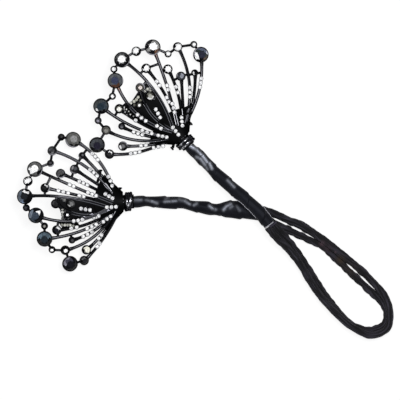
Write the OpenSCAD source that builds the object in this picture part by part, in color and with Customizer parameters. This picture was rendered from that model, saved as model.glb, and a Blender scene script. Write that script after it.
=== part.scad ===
// Hair bun twist: a wired band that loops and crosses itself, with a jewelled metal fan at each end.
// It lies on a surface at z = 0. Lengths are in millimetres and angles in degrees.

/* [Ribbon wraps] */
// Greatest thickness of the ribbon-wrapped ends
wrap_t = 5.8; // [5:0.1:6]
// Distance along the band from one turn of ribbon to the next
ribbon_pitch = 11; // [8:0.5:16]
// How far a turn's edge stands out of the turn beneath it, as a share of the radius
ribbon_ridge = 0.1; // [0:0.01:0.15]

/* [Cloth loop] */
// Width of one padded strip
strip_w = 3.7; // [3:0.1:3.8]
// Thickness of one padded strip
strip_t = 3.5; // [3:0.1:3.6]
// Least gap between the two strips
strip_gap = 0.15; // [0.1:0.05:0.3]
// How much narrower a strip is at each pucker, as a share of its width
strip_pucker = 0.07; // [0:0.01:0.12]

/* [Necks] */
// Height of each neck's axis above the surface
neck_h = 4.85; // [4.85:0.05:5.5]
// Diameter of the wire wound round each neck
coil_wire = 1.5; // [1.2:0.1:1.5]
// Turns of wire at each neck
coil_turns = 3; // [2:1:3]
// Radius of the hole that the stem bundle passes through
coil_bore_r = 2.9; // [2.8:0.1:3]

/* [Fans] */
// Height of each fan's middle above the surface
dome_h = 15; // [10:0.5:18]
// Height of each fan's side edges above the surface
edge_h = 3.2; // [3.2:0.1:5]
// Distance from the neck to the highest part of a fan
crown_reach = 38; // [30:1:45]
// Angle from a fan's axis to the side edge of its dome
half_fan = 52; // [50:1:56]
// Diameter of a stem
stem_d = 1.6; // [1.2:0.1:1.7]
// Diameter of a link between two settings
link_d = 1.2; // [0.9:0.1:1.3]

/* [Stones] */
// Diameter of a big stone
big_d = 7.1; // [6:0.1:7.2]
// Diameter of a medium stone
medium_d = 4; // [3.2:0.1:4.1]
// Diameter of a small stone
small_d = 2.8; // [2:0.1:2.9]
// Wall of a setting cup round its stone
cup_wall = 0.3; // [0.2:0.05:0.4]
// Gap between a stone and its cup
stone_gap = 0.1; // [0.1:0.01:0.15]

/* [Hidden] */
// Sides of the swept and faceted forms
WRAP_SIDES = 10;
STRIP_SIDES = 8;
WIRE_SIDES = 5;
RINGS_PER_SPAN = 2;
STEM_SPANS = 4;

// The middle of the whole outline seen from above, which is placed at the origin
MIDDLE = [-0.02, 0.11];

// Where each neck is, and which way its fan points
UPPER_NECK = [-9.8, 23.3];
UPPER_AIM = 131;
LOWER_NECK = [-38.3, -6.3];
LOWER_AIM = 182;

// Columns of the wrap tables: place, height of the centre and width seen from above
X = 0;
Y = 1;
Z = 2;
WIDTH = 3;

// The upper end rises from its neck and passes over the lower end
UPPER_WRAP = [
  [-3.2, 17.0, 5.2, 6.2],
  [0.0, 13.5, 5.6, 6.0],
  [4.0, 9.5, 6.2, 5.8],
  [8.0, 5.5, 6.9, 6.4],
  [11.5, 2.5, 7.6, 6.4],
  [15.0, -0.5, 8.3, 6.2],
  [18.5, -3.5, 8.8, 6.2],
  [22.0, -6.5, 9.1, 6.2],
  [25.5, -10.0, 9.2, 6.4],
  [29.0, -13.5, 9.0, 6.5],
  [32.3, -18.0, 8.6, 6.2],
];

// The lower end comes down to the surface and ends flat under the crossing
LOWER_WRAP = [
  [-28.5, -6.1, 3.7, 5.0],
  [-23.0, -6.6, 2.9, 6.1],
  [-17.0, -6.7, 2.8, 6.2],
  [-12.0, -6.8, 2.7, 5.6],
  [-7.0, -8.2, 2.5, 5.1],
  [0.0, -9.4, 2.8, 6.4],
  [5.5, -10.1, 2.8, 5.8],
  [10.5, -10.2, 2.8, 7.8],
  [14.5, -10.3, 2.8, 8.9],
  [21.0, -11.0, 2.8, 8.4],
  [27.0, -12.0, 2.7, 7.4],
];

// The cloth loop from the upper wrap's end, round the teardrop, to the lower wrap's end.
// Columns: place of the band's middle, both strips' width seen from above, and clearance under them
SPAN = 2;
LIFT = 3;
LOOP = [
  [32.8, -18.6, 6.4, 5.7],
  [35.5, -21.5, 7.0, 5.3],
  [38.5, -24.5, 7.1, 4.2],
  [42.0, -28.2, 6.3, 2.4],
  [45.5, -32.7, 6.0, 0.9],
  [48.5, -37.2, 5.6, 0.2],
  [52.0, -42.5, 5.9, 0],
  [56.0, -49.0, 6.0, 0],
  [60.5, -55.2, 5.5, 0],
  [65.0, -60.5, 5.1, 0],
  [71.5, -67.0, 4.6, 0],
  [77.0, -70.2, 4.9, 0],
  [82.0, -71.8, 5.8, 0],
  [86.5, -71.0, 6.3, 0],
  [90.5, -68.5, 6.0, 0],
  [91.8, -63.5, 5.1, 0],
  [90.8, -58.5, 5.7, 0],
  [87.0, -52.5, 6.9, 0],
  [82.5, -48.0, 8.0, 0],
  [77.5, -43.2, 8.3, 0],
  [72.5, -38.8, 7.4, 0],
  [67.5, -34.2, 6.8, 0],
  [63.0, -30.2, 6.6, 0],
  [58.5, -26.8, 6.8, 0],
  [52.5, -23.5, 7.8, 0],
  [45.5, -19.8, 8.6, 0],
  [38.5, -16.6, 8.2, 0],
  [32.5, -13.8, 7.8, 0],
  [28.0, -12.2, 7.4, 0],
];

// Sizes of setting
BIG = 0;
MEDIUM = 1;
SMALL = 2;

// One casting serves both ends. Its rim settings in order, counter-clockwise side first:
// a stem runs to every second one, and a link joins each to the next
RIM_SIZE = [MEDIUM, BIG, MEDIUM, SMALL, BIG, SMALL, BIG, SMALL, BIG, MEDIUM, BIG, SMALL, MEDIUM, SMALL, BIG];
// Its inner settings in the same order, each on a stem of its own
INNER_SIZE = [MEDIUM, SMALL, MEDIUM, MEDIUM, MEDIUM, MEDIUM, MEDIUM, SMALL];
RIM_COUNT = len(RIM_SIZE);
INNER_COUNT = len(INNER_SIZE);
// Which inner setting is linked to which rim stem
INNER_LINKS = [[1, 4], [2, 4], [2, 6], [3, 8], [4, 8], [4, 10], [5, 10], [6, 12], [7, 12], [7, 14]];
// Which inner setting is linked to which inner stem
NEIGHBOUR_LINKS = [[6, 5]];
// The plate in the middle of the fan hangs between these two rim stems
PLATE_STEMS = [6, 8];

// How the casting lies at each end, a row for each setting: its distance along the fan's axis and
// across it, how far its stem bows sideways, and the stem's place across the root
ALONG = 0;
ACROSS = 1;
BOW = 2;
ROOT = 3;
UPPER_RIM = [
  [20.5, 32.5, 2.0, 8.3], [28.0, 34.2, 0, 0], [30.6, 26.0, 3.1, 4.6], [36.8, 25.9, 0, 0],
  [41.3, 20.0, 2.6, 4.3], [41.3, 12.5, 0, 0], [46.2, 6.2, 5.5, 0.6], [51.1, 3.0, 0, 0],
  [52.0, -3.2, -4.2, 1.2], [50.5, -11.4, 0, 0], [46.6, -18.9, -1.0, -1.5], [39.0, -22.6, 0, 0],
  [38.5, -28.5, -4.3, -5.3], [34.1, -35.4, 0, 0], [28.0, -34.7, -3.3, -5.2],
];
UPPER_INNER = [
  [19.1, 24.8, 0.6, 8.2], [26.8, 18.9, 1.1, 5.7], [34.3, 14.0, 1.2, 3.6], [35.4, -0.9, 4.3, -0.4],
  [40.8, -9.5, -2.1, -1.8], [33.3, -17.5, -1.9, -3.8], [26.3, -20.1, -0.1, -5.0], [23.0, -26.5, -1.0, -7.8],
];
LOWER_RIM = [
  [23.0, 28.8, 1.1, 8.2], [30.2, 30.1, 0, 0], [32.3, 23.3, 3.6, 4.2], [38.9, 22.8, 0, 0],
  [42.5, 17.2, 2.7, 5.2], [42.3, 10.8, 0, 0], [46.4, 5.3, 5.5, 0.9], [51.2, 1.3, 0, 0],
  [51.7, -4.4, -2.6, 3.7], [49.9, -12.0, 0, 0], [46.1, -17.9, 0.4, 0.6], [38.2, -20.6, 0, 0],
  [37.1, -26.8, -3.5, -2.7], [32.3, -33.5, 0, 0], [26.5, -32.0, -3.9, -3.8],
];
LOWER_INNER = [
  [21.7, 23.5, 0.8, 7.3], [28.7, 18.4, 1.9, 5.1], [36.2, 13.0, 2.2, 3.8], [36.3, -0.2, 5.2, 2.0],
  [41.3, -8.3, -0.2, 1.3], [33.3, -15.3, -0.4, -1.6], [26.2, -17.2, 0.2, -3.8], [22.2, -24.0, -0.2, -6.1],
];

// The bundle of stems inside the coil: its gap to the coil, and how far it runs on into the root
BUNDLE_GAP = 0.3;
BUNDLE_OUT = 1.3;
BUNDLE_SIDES = 12;
// Stems begin this far from the neck, inside the solid root
ROOT_OUT = 7;
// Columns of the root's sections: distance from the neck, half width, how much of the dome's shape it
// has, how far its sides lie behind its middle, and its share of the full thickness
ROOT_SECTIONS = [
  [2.6, 5.0, 0.2, 0, 1],
  [8.5, 9.3, 0.95, 1.6, 1],
  [17.0, 14.0, 1, 5.5, 0.8],
];
ROOT_TOP = 1.3;
ROOT_BOTTOM = 2.2;
ROOT_POINTS = 6;
// Inner stems leave the root this far below the rim stems
LAYER_DROP = 1.7;
// The dome falls this much towards its tip
TIP_DROP = 1.6;
// Settings lean this share of the dome's own slope, about a point this far above their base
LEAN_SHARE = 0.6;
LEAN_H = 1.6;

// Setting cups, a value for each size
STONE_D = [big_d, medium_d, small_d];
CUP_R = [for (d = STONE_D) d / 2 + stone_gap + cup_wall];
CUP_BASE = [1.7, 1.6, 1.5];
CUP_DEPTH = [0.9, 0.7, 0.5];
CUP_SIDES = [12, 8, 6];
CUP_TAPER = 0.75;
STONE_SIDES = [16, 8, 8];
GIRDLE_T = [0.9, 0.7, 0.5];
CROWN_T = [1.3, 0.9, 0.6];
TABLE_SHARE = 0.55;

// The plate: shares of its two stems' length where its inner end, its outer end and the bar beyond lie
PLATE_FROM = 0.12;
PLATE_TO = 0.65;
BAR_AT = 0.65;
PLATE_T = 1.0;
PLATE_DROP = 0.9;
PLATE_CORNER = 0.6;
// Settings are let into the plate this far
PLATE_SINK = 0.3;
// Settings on each end's plate: along, across and size
UPPER_PLATE = [[29.2, -1.9, MEDIUM], [29.4, 5.2, SMALL]];
LOWER_PLATE = [[28.7, 0.2, MEDIUM], [30.9, 5.6, SMALL]];

CRYSTAL_BLACK = [0.10, 0.10, 0.12];
METAL_BLACK = [0.05, 0.05, 0.06];
RIBBON_BLACK = [0.07, 0.07, 0.09];
CLOTH_BLACK = [0.12, 0.12, 0.13];

ENDS = ["upper", "lower"];
MAIN_RIM = [for (k = [0:RIM_COUNT - 1]) if (RIM_SIZE[k] != SMALL) k];
MAIN_INNER = [for (k = [0:INNER_COUNT - 1]) if (INNER_SIZE[k] != SMALL) k];
function rim_name(end, k) = str("stone_", end, "_rim_", k + 1);
function inner_name(end, k) = str("stone_", end, "_inner_", k + 1);

// Smooth curve through the rows of a table, all columns at once
function curve_row(a, b, c, d, t) =
  0.5 * (2 * b + (c - a) * t + (2 * a - 5 * b + 4 * c - d) * t * t + (3 * b - a - 3 * c + d) * t * t * t);
function smooth_rows(rows, steps) =
  let (last = len(rows) - 1)
  concat(
    [for (i = [0:last - 1], k = [0:steps - 1])
      curve_row(rows[max(i - 1, 0)], rows[i], rows[i + 1], rows[min(i + 2, last)], k / steps)],
    [rows[last]]
  );
function unit(v) = v / norm(v);
function centre(row) = [row[X], row[Y], row[Z]];
function heading(path, i) = unit(path[min(i + 1, len(path) - 1)] - path[max(i - 1, 0)]);
// Level direction to the left of a heading
function left_of(h) = unit([-h[Y], h[X], 0]);
function above(p) = [p[X], p[Y], max(p[Z], 0)];
// Length of a path from its start to each of its points
function run_lengths(path, i = 0, sum = 0) =
  i >= len(path) - 1 ? [sum] : concat([sum], run_lengths(path, i + 1, sum + norm(path[i + 1] - path[i])));

// Triangles that cover a ring of points, going across it from side to side
function ring_order(i, n) = i % 2 == 1 ? (i + 1) / 2 : (n - i / 2) % n;
function cap_triangles(n) = [for (i = [0:n - 3])
  let (a = ring_order(i, n), b = ring_order(i + 1, n), c = ring_order(i + 2, n))
  i % 2 == 0 ? [a, b, c] : [b, a, c]];

// A closed skin over a row of rings with the same number of points
module skin(rings) {
  sides = len(rings[0]);
  last = len(rings) - 1;
  walls = [for (i = [0:last - 1], k = [0:sides - 1])
    let (a = i * sides + k, b = i * sides + (k + 1) % sides)
    each [[a, a + sides, b], [b, a + sides, b + sides]]];
  caps = [for (c = cap_triangles(sides)) each [c, [for (k = [2, 1, 0]) last * sides + c[k]]]];
  polyhedron(points = [for (ring = rings) each ring], faces = concat(walls, caps));
}

// A round wire along a path
module wire(path, d, sides) {
  skin([for (i = [0:len(path) - 1])
    let (h = heading(path, i), side = left_of(h), up = cross(h, side))
    [for (k = [0:sides - 1]) path[i] + d / 2 * (cos(360 * k / sides) * side + sin(360 * k / sides) * up)]]);
}

function rotated(p, a) = [p[X] * cos(a) - p[Y] * sin(a), p[X] * sin(a) + p[Y] * cos(a)];

// Band

COIL_PITCH = coil_wire + 0.1;
coil_l = coil_turns * COIL_PITCH;
// A wrap begins this far behind the middle of the coil, and leaves it square for a short way
WRAP_SEAT = coil_l / 2 + 0.4;
WRAP_START_L = 3;
WRAP_START_W = 5.4;

function wrap_rows(neck, aim, rows) =
  let (starts = [for (back = [WRAP_SEAT, WRAP_SEAT + WRAP_START_L]) neck - rotated([back, 0], aim)])
  smooth_rows(concat([for (p = starts) [p[X], p[Y], neck_h, WRAP_START_W]], rows), RINGS_PER_SPAN);

// The wound ribbon stands out along a spiral, and lies flat where it rests
module ribbon_wrap(rows) {
  path = [for (row = rows) centre(row)];
  lengths = run_lengths(path);
  skin([for (i = [0:len(rows) - 1])
    let (h = heading(path, i), side = left_of(h), up = cross(h, side), w = rows[i][WIDTH], t = min(w, wrap_t))
    [for (k = [0:WRAP_SIDES - 1])
      let (
        a = 360 * k / WRAP_SIDES,
        phase = 360 * lengths[i] / ribbon_pitch - a,
        grow = 1 - ribbon_ridge / 2 + ribbon_ridge * pow(0.5 + 0.5 * cos(phase), 2)
      )
      above(path[i] + grow * (w / 2 * cos(a) * side + t / 2 * sin(a) * up))]]);
}

module wrap_upper() {
  color(RIBBON_BLACK) ribbon_wrap(wrap_rows(UPPER_NECK, UPPER_AIM, UPPER_WRAP));
}

module wrap_lower() {
  color(RIBBON_BLACK) ribbon_wrap(wrap_rows(LOWER_NECK, LOWER_AIM, LOWER_WRAP));
}

// Where the band is seen narrower than its two strips side by side, it rolls towards its edge,
// the outer strip up. out is 1 for the outer strip and -1 for the inner one.
// Every second ring is drawn in as a pucker, and the cloth is pressed flat where it rests
REST_FLAT = 0.3;
module loop_strip(out) {
  rows = smooth_rows(LOOP, RINGS_PER_SPAN);
  path = [for (row = rows) [row[X], row[Y], 0]];
  touching = strip_w + strip_gap;
  skin([for (i = [0:len(rows) - 1])
    let (
      left = left_of(heading(path, i)),
      seen = rows[i][SPAN] - strip_w,
      roll = acos(max(min(seen / touching, 1), 0)),
      pitch = max(seen, touching),
      flat = cos(roll) * -left + [0, 0, sin(roll)],
      up = [0, 0, cos(roll)] + sin(roll) * left,
      middle = path[i] + [0, 0, rows[i][LIFT] + strip_t / 2 - REST_FLAT + pitch / 2 * sin(roll)],
      at = middle + out * pitch / 2 * flat,
      swell = 1 - strip_pucker * (i % 2)
    )
    [for (k = [0:STRIP_SIDES - 1])
      let (a = -360 * (k + 0.5) / STRIP_SIDES)
      above(at + swell * (strip_w / 2 * cos(a) * flat + strip_t / 2 * sin(a) * up))]]);
}

module loop_strip_outer() {
  color(CLOTH_BLACK) loop_strip(1);
}

module loop_strip_inner() {
  color(CLOTH_BLACK) loop_strip(-1);
}

// Fans

// Height of the fan's dome at a place in the fan's own frame, whose origin is the neck
function dome(p) =
  let (
    s = norm([p[X], p[Y]]) / crown_reach,
    turn = min(abs(atan2(p[Y], p[X])) / half_fan, 1),
    crown = edge_h + (dome_h - edge_h) * cos(90 * turn),
    rise = s < 1 ? sin(90 * s) : 1 - TIP_DROP * pow(s - 1, 2)
  )
  neck_h + (crown - neck_h) * rise;
function on_dome(p) = [p[X], p[Y], dome(p)];

function rim_rows(end) = end == "upper" ? UPPER_RIM : LOWER_RIM;
function inner_rows(end) = end == "upper" ? UPPER_INNER : LOWER_INNER;
function plate_rows(end) = end == "upper" ? UPPER_PLATE : LOWER_PLATE;
function spot(row) = on_dome([row[ALONG], row[ACROSS]]);

// Place on a stem, from 0 at the root to 1 at its setting, let down by drop at the root
function stem_point(row, t, drop = 0) =
  let (
    tip = [row[ALONG], row[ACROSS]],
    root = [ROOT_OUT, row[ROOT]],
    chord = tip - root,
    across = [-chord[Y], chord[X]] / norm(chord)
  )
  on_dome(root + t * chord + 4 * t * (1 - t) * row[BOW] * across) - [0, 0, drop * (1 - t * t)];
function stem_path(row, drop = 0) = [for (i = [0:STEM_SPANS]) stem_point(row, i / STEM_SPANS, drop)];

// The solid root, where the stems lie side by side: each section is a band that follows the dome
module root() {
  skin([for (section = ROOT_SECTIONS)
    let (half = section[1], share = section[2], back = section[3], thick = section[4])
    [for (k = [0:2 * ROOT_POINTS - 1])
      let (
        a = 360 * (k + 0.5) / (2 * ROOT_POINTS),
        y = half * cos(a),
        out = section[0] - back * pow(cos(a), 2),
        shaped = dome([out, y]) + thick * (a < 180 ? ROOT_TOP : -ROOT_BOTTOM) * min(1, 2 * abs(sin(a))),
        round_z = neck_h + half * sin(a)
      )
      [out, y, share * shaped + (1 - share) * round_z]]]);
}

// The place on a stem nearest to a point, of a few places tried
NEAR_STEPS = 16;
function nearest_on(row, p, drop = 0) =
  let (
    tries = [for (i = [NEAR_STEPS / 2:NEAR_STEPS]) stem_point(row, i / NEAR_STEPS, drop)],
    gaps = [for (q = tries) norm(q - p)],
    best = min(gaps)
  )
  [for (i = [0:len(tries) - 1]) if (gaps[i] == best) tries[i]][0];

// Lean of a setting: its angles about the axes across and along the fan
SLOPE_STEP = 0.5;
function lean(row) =
  let (
    p = [row[ALONG], row[ACROSS]],
    by_along = (dome(p + [SLOPE_STEP, 0]) - dome(p - [SLOPE_STEP, 0])) / (2 * SLOPE_STEP),
    by_across = (dome(p + [0, SLOPE_STEP]) - dome(p - [0, SLOPE_STEP])) / (2 * SLOPE_STEP)
  )
  LEAN_SHARE * [atan(by_across), -atan(by_along)];

// Puts its children at a setting: their z = 0 is the middle of the cup's base
module at_setting(row) {
  angles = lean(row);
  pivot = [0, 0, LEAN_H];
  translate(spot(row) + pivot) rotate([angles[0], angles[1], 0]) translate(-pivot) children();
}

module cup(size) {
  r = CUP_R[size];
  base = CUP_BASE[size];
  hull() {
    translate([0, 0, -base / 2]) cylinder(r = r * CUP_TAPER, h = 0.01, $fn = CUP_SIDES[size]);
    translate([0, 0, base / 2]) cylinder(r = r, h = CUP_DEPTH[size], $fn = CUP_SIDES[size]);
  }
}

module pocket(size) {
  translate([0, 0, CUP_BASE[size] / 2])
    cylinder(r = STONE_D[size] / 2 + stone_gap, h = big_d, $fn = CUP_SIDES[size]);
}

// A cut stone: flat back, girdle, a crown of facets and a table
module cut_stone(size) {
  n = STONE_SIDES[size];
  r = STONE_D[size] / 2 * cos(180 / CUP_SIDES[size]);
  table_r = r * TABLE_SHARE;
  girdle = GIRDLE_T[size];
  function round_at(radius, z, sides) = [for (k = [0:sides - 1])
    [radius * cos(360 * k / sides), radius * sin(360 * k / sides), z]];
  translate([0, 0, CUP_BASE[size] / 2 + stone_gap])
    if (n == 8) {
      skin([round_at(r, 0, n), round_at(r, girdle, n), round_at(table_r, girdle + CROWN_T[size], n)]);
    } else {
      table_ring = round_at(table_r, girdle + CROWN_T[size], n / 2);
      gem_points = concat(round_at(r, 0, n), round_at(r, girdle, n), table_ring);
      walls = [for (k = [0:n - 1]) let (b = (k + 1) % n) each [[k, k + n, b], [b, k + n, b + n]]];
      stars = [for (k = [0:n / 2 - 1]) let (t = 2 * n + k, u = 2 * n + (k + 1) % (n / 2), g = n + 2 * k)
        each [[t, u, g + 1], [t, g + 1, g], [u, n + (2 * k + 2) % n, g + 1]]];
      flats = concat(
        [for (k = [1:n - 2]) [0, k, k + 1]],
        [for (k = [1:n / 2 - 2]) [2 * n, 2 * n + k + 1, 2 * n + k]]
      );
      polyhedron(points = gem_points, faces = concat(walls, stars, flats));
    }
}

// A short wire between two places
module link(a, b) {
  wire([a, b], link_d, WIRE_SIDES);
}

function plate_height(p) = dome(p) - PLATE_DROP;
function plate_spot(row) = [row[0], row[1], plate_height(row)];
function plate_lean(row) =
  let (ahead = plate_height([row[0] + SLOPE_STEP, row[1]]))
  let (behind = plate_height([row[0] - SLOPE_STEP, row[1]]))
  -atan((ahead - behind) / (2 * SLOPE_STEP));

module at_plate_setting(row) {
  translate(plate_spot(row) + [0, 0, PLATE_T / 2 - PLATE_SINK]) rotate([0, plate_lean(row), 0]) children();
}

// The small plate between two rim stems, with a bar across just beyond it
module plate(end) {
  rim = rim_rows(end);
  link(stem_point(rim[PLATE_STEMS[0]], BAR_AT), stem_point(rim[PLATE_STEMS[1]], BAR_AT));
  corners = [for (t = [PLATE_FROM, PLATE_TO], k = PLATE_STEMS) stem_point(rim[k], t) - [0, 0, PLATE_DROP]];
  hull()
    for (c = corners)
      translate(c) cube([PLATE_CORNER, PLATE_CORNER, PLATE_T], center = true);
}

// All of a fan's soldered metal
module fan_frame(end) {
  rim = rim_rows(end);
  inner = inner_rows(end);
  difference() {
    union() {
      translate([-coil_l / 2, 0, neck_h]) rotate([0, 90, 0])
        cylinder(r = coil_bore_r - BUNDLE_GAP, h = coil_l + BUNDLE_OUT, $fn = BUNDLE_SIDES);
      root();
      for (k = [0:2:RIM_COUNT - 1]) wire(stem_path(rim[k]), stem_d, WIRE_SIDES);
      for (row = inner) wire(stem_path(row, LAYER_DROP), stem_d, WIRE_SIDES);
      for (k = [0:RIM_COUNT - 2]) link(spot(rim[k]), spot(rim[k + 1]));
      for (pair = INNER_LINKS) link(spot(inner[pair[0]]), nearest_on(rim[pair[1]], spot(inner[pair[0]])));
      for (pair = NEIGHBOUR_LINKS)
        link(spot(inner[pair[0]]), nearest_on(inner[pair[1]], spot(inner[pair[0]]), LAYER_DROP));
      for (k = [0:RIM_COUNT - 1]) at_setting(rim[k]) cup(RIM_SIZE[k]);
      for (k = [0:INNER_COUNT - 1]) at_setting(inner[k]) cup(INNER_SIZE[k]);
      plate(end);
      for (row = plate_rows(end)) at_plate_setting(row) cup(row[2]);
    }
    for (k = [0:RIM_COUNT - 1]) at_setting(rim[k]) pocket(RIM_SIZE[k]);
    for (k = [0:INNER_COUNT - 1]) at_setting(inner[k]) pocket(INNER_SIZE[k]);
    for (row = plate_rows(end)) at_plate_setting(row) pocket(row[2]);
  }
}

module at_end(end) {
  neck = end == "upper" ? UPPER_NECK : LOWER_NECK;
  aim = end == "upper" ? UPPER_AIM : LOWER_AIM;
  translate([neck[X], neck[Y], 0]) rotate([0, 0, aim]) children();
}

module head_frame(end) {
  color(METAL_BLACK) at_end(end) fan_frame(end);
}

// The wound wire at a neck, drawn as a sleeve with a rib for each turn
module neck_coil(end) {
  middle_r = neck_h - coil_wire / 2;
  color(METAL_BLACK) at_end(end) translate([-coil_l / 2, 0, neck_h]) rotate([0, 90, 0])
    rotate_extrude() union() {
      translate([coil_bore_r, 0]) square([middle_r - coil_bore_r, coil_l]);
      for (k = [0:coil_turns - 1])
        translate([middle_r, (k + 0.5) * COIL_PITCH]) circle(d = coil_wire);
    }
}

module rim_stone(end, k) {
  color(CRYSTAL_BLACK) at_end(end) at_setting(rim_rows(end)[k]) cut_stone(RIM_SIZE[k]);
}

module inner_stone(end, k) {
  color(CRYSTAL_BLACK) at_end(end) at_setting(inner_rows(end)[k]) cut_stone(INNER_SIZE[k]);
}

module small_stones(end) {
  color(CRYSTAL_BLACK) at_end(end) {
    for (k = [0:RIM_COUNT - 1]) if (RIM_SIZE[k] == SMALL) at_setting(rim_rows(end)[k]) cut_stone(SMALL);
    for (k = [0:INNER_COUNT - 1]) if (INNER_SIZE[k] == SMALL) at_setting(inner_rows(end)[k]) cut_stone(SMALL);
    for (row = plate_rows(end)) at_plate_setting(row) cut_stone(row[2]);
  }
}

translate([-MIDDLE[0], -MIDDLE[1], 0]) {
  wrap_upper();
  wrap_lower();
  loop_strip_outer();
  loop_strip_inner();
  for (end = ENDS) {
    neck_coil(end);
    head_frame(end);
    for (k = MAIN_RIM) rim_stone(end, k);
    for (k = MAIN_INNER) inner_stone(end, k);
    small_stones(end);
  }
}
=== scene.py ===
# %% [markdown]
# # A jewelled hair bun twist
# The real thing is a bendable hair maker. Wires run through a black band that makes a loop and crosses
# over itself, and each end is bound to a fan of black-plated metal stems set with rhinestones.
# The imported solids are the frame. The stones are cut again in their places with more facets, and the soft
# parts and the metalwork are made again with the fine detail that the solids leave out.

import math

import bpy
import numpy as np
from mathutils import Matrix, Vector


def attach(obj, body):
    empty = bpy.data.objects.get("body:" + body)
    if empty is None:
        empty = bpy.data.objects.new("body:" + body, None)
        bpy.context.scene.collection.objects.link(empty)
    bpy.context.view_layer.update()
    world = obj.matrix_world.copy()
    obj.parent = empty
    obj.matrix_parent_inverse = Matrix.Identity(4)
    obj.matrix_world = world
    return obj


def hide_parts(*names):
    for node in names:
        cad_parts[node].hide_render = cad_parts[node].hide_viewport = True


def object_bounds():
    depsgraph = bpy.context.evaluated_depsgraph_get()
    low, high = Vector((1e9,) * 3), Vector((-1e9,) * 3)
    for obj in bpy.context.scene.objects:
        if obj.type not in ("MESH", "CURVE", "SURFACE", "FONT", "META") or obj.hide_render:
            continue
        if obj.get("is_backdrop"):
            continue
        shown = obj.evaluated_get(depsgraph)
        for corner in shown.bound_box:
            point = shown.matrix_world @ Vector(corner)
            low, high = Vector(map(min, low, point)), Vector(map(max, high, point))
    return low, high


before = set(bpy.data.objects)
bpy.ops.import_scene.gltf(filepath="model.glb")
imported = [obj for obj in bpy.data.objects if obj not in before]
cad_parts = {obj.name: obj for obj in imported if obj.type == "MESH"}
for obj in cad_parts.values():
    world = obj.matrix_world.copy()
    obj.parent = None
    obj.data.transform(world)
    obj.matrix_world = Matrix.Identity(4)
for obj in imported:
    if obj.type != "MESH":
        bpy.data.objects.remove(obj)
cad_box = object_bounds()
MM = 0.001
print("nodes", len(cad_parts), "box in mm", [round(v / MM, 1) for v in cad_box[1] - cad_box[0]])

# %% [markdown]
# ## The camera
# The thing lies flat and is seen from straight above. A long lens far away keeps tall stones from
# sliding outwards in the picture, as a wide lens close by would make them do.

# %% Camera
VIEW_WIDTH = 200
VIEW_CENTRE = (-2.48, -5.61)
CAMERA_HEIGHT = 8000
FOCUS_HEIGHT = 8

camera = bpy.data.objects.new("camera", bpy.data.cameras.new("camera"))
bpy.context.scene.collection.objects.link(camera)
camera.location = (VIEW_CENTRE[0] * MM, VIEW_CENTRE[1] * MM, CAMERA_HEIGHT * MM)
camera.data.sensor_width = 36
camera.data.lens = camera.data.sensor_width * (CAMERA_HEIGHT - FOCUS_HEIGHT) / VIEW_WIDTH
camera.data.clip_end = 20
bpy.context.scene.camera = camera
bpy.context.scene.view_settings.view_transform = "Standard"
print("lens", round(camera.data.lens), "mm")

# %% [markdown]
# ## Colours and node helper
# A colour picked on screen is sRGB, but the shader works in linear light, so one function turns a hex
# value into linear numbers. One more adds a node with its settings and links, so that each material below
# reads as a short list of what it is made of. A setting is an input's name, its number, or a property. A
# link is an input with the node and the output that feed it.

# %% Colour and node helper
def linear(hex_colour):
    parts = [int(hex_colour[i:i + 2], 16) / 255 for i in (1, 3, 5)]
    return [c / 12.92 if c <= 0.04045 else ((c + 0.055) / 1.055) ** 2.4 for c in parts] + [1.0]


def add(tree, kind, settings=None, links=None):
    node = tree.nodes.new(kind)
    for name, value in (settings or {}).items():
        if isinstance(name, int) or name in node.inputs:
            node.inputs[name].default_value = value
        else:
            setattr(node, name, value)
    for socket, (source, output) in (links or {}).items():
        tree.links.new(source.outputs[output], node.inputs[socket])
    return node


def new_material(name):
    material = bpy.data.materials.new(name)
    material.use_nodes = True
    material.node_tree.nodes.clear()
    return material, material.node_tree


# %% [markdown]
# ## Black-plated zinc alloy
# The fans are cast in zinc alloy, polished and plated black, as most costume jewellery is. Plating keeps
# the metal's mirror but swallows nearly all the light, so a stem looks black with one thin pale line along
# it. Casting leaves a faint grain about a third of a millimetre across. An amount painted on the mesh says
# how a place is finished: -1 is left as it was cast, 0 is polished, and 1 is stained with brown glue and
# tarnish, as the photo shows beside two of the big cups. On the fine ribs over the root the plating is
# much lighter, which paints in their highlights. The wire round each neck is enamelled steel, and there an
# amount of 1 is where the enamel has worn off to bright steel, placed on the tops of the turns to paint in
# the highlights.

# %% Plated metal
CAST_GRAIN = 0.35
# How far apart smoother and rougher places lie
BLOTCH = 4
CAST_COLOUR = "#121213"
CAST_ROUGHNESS = 0.4


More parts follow.
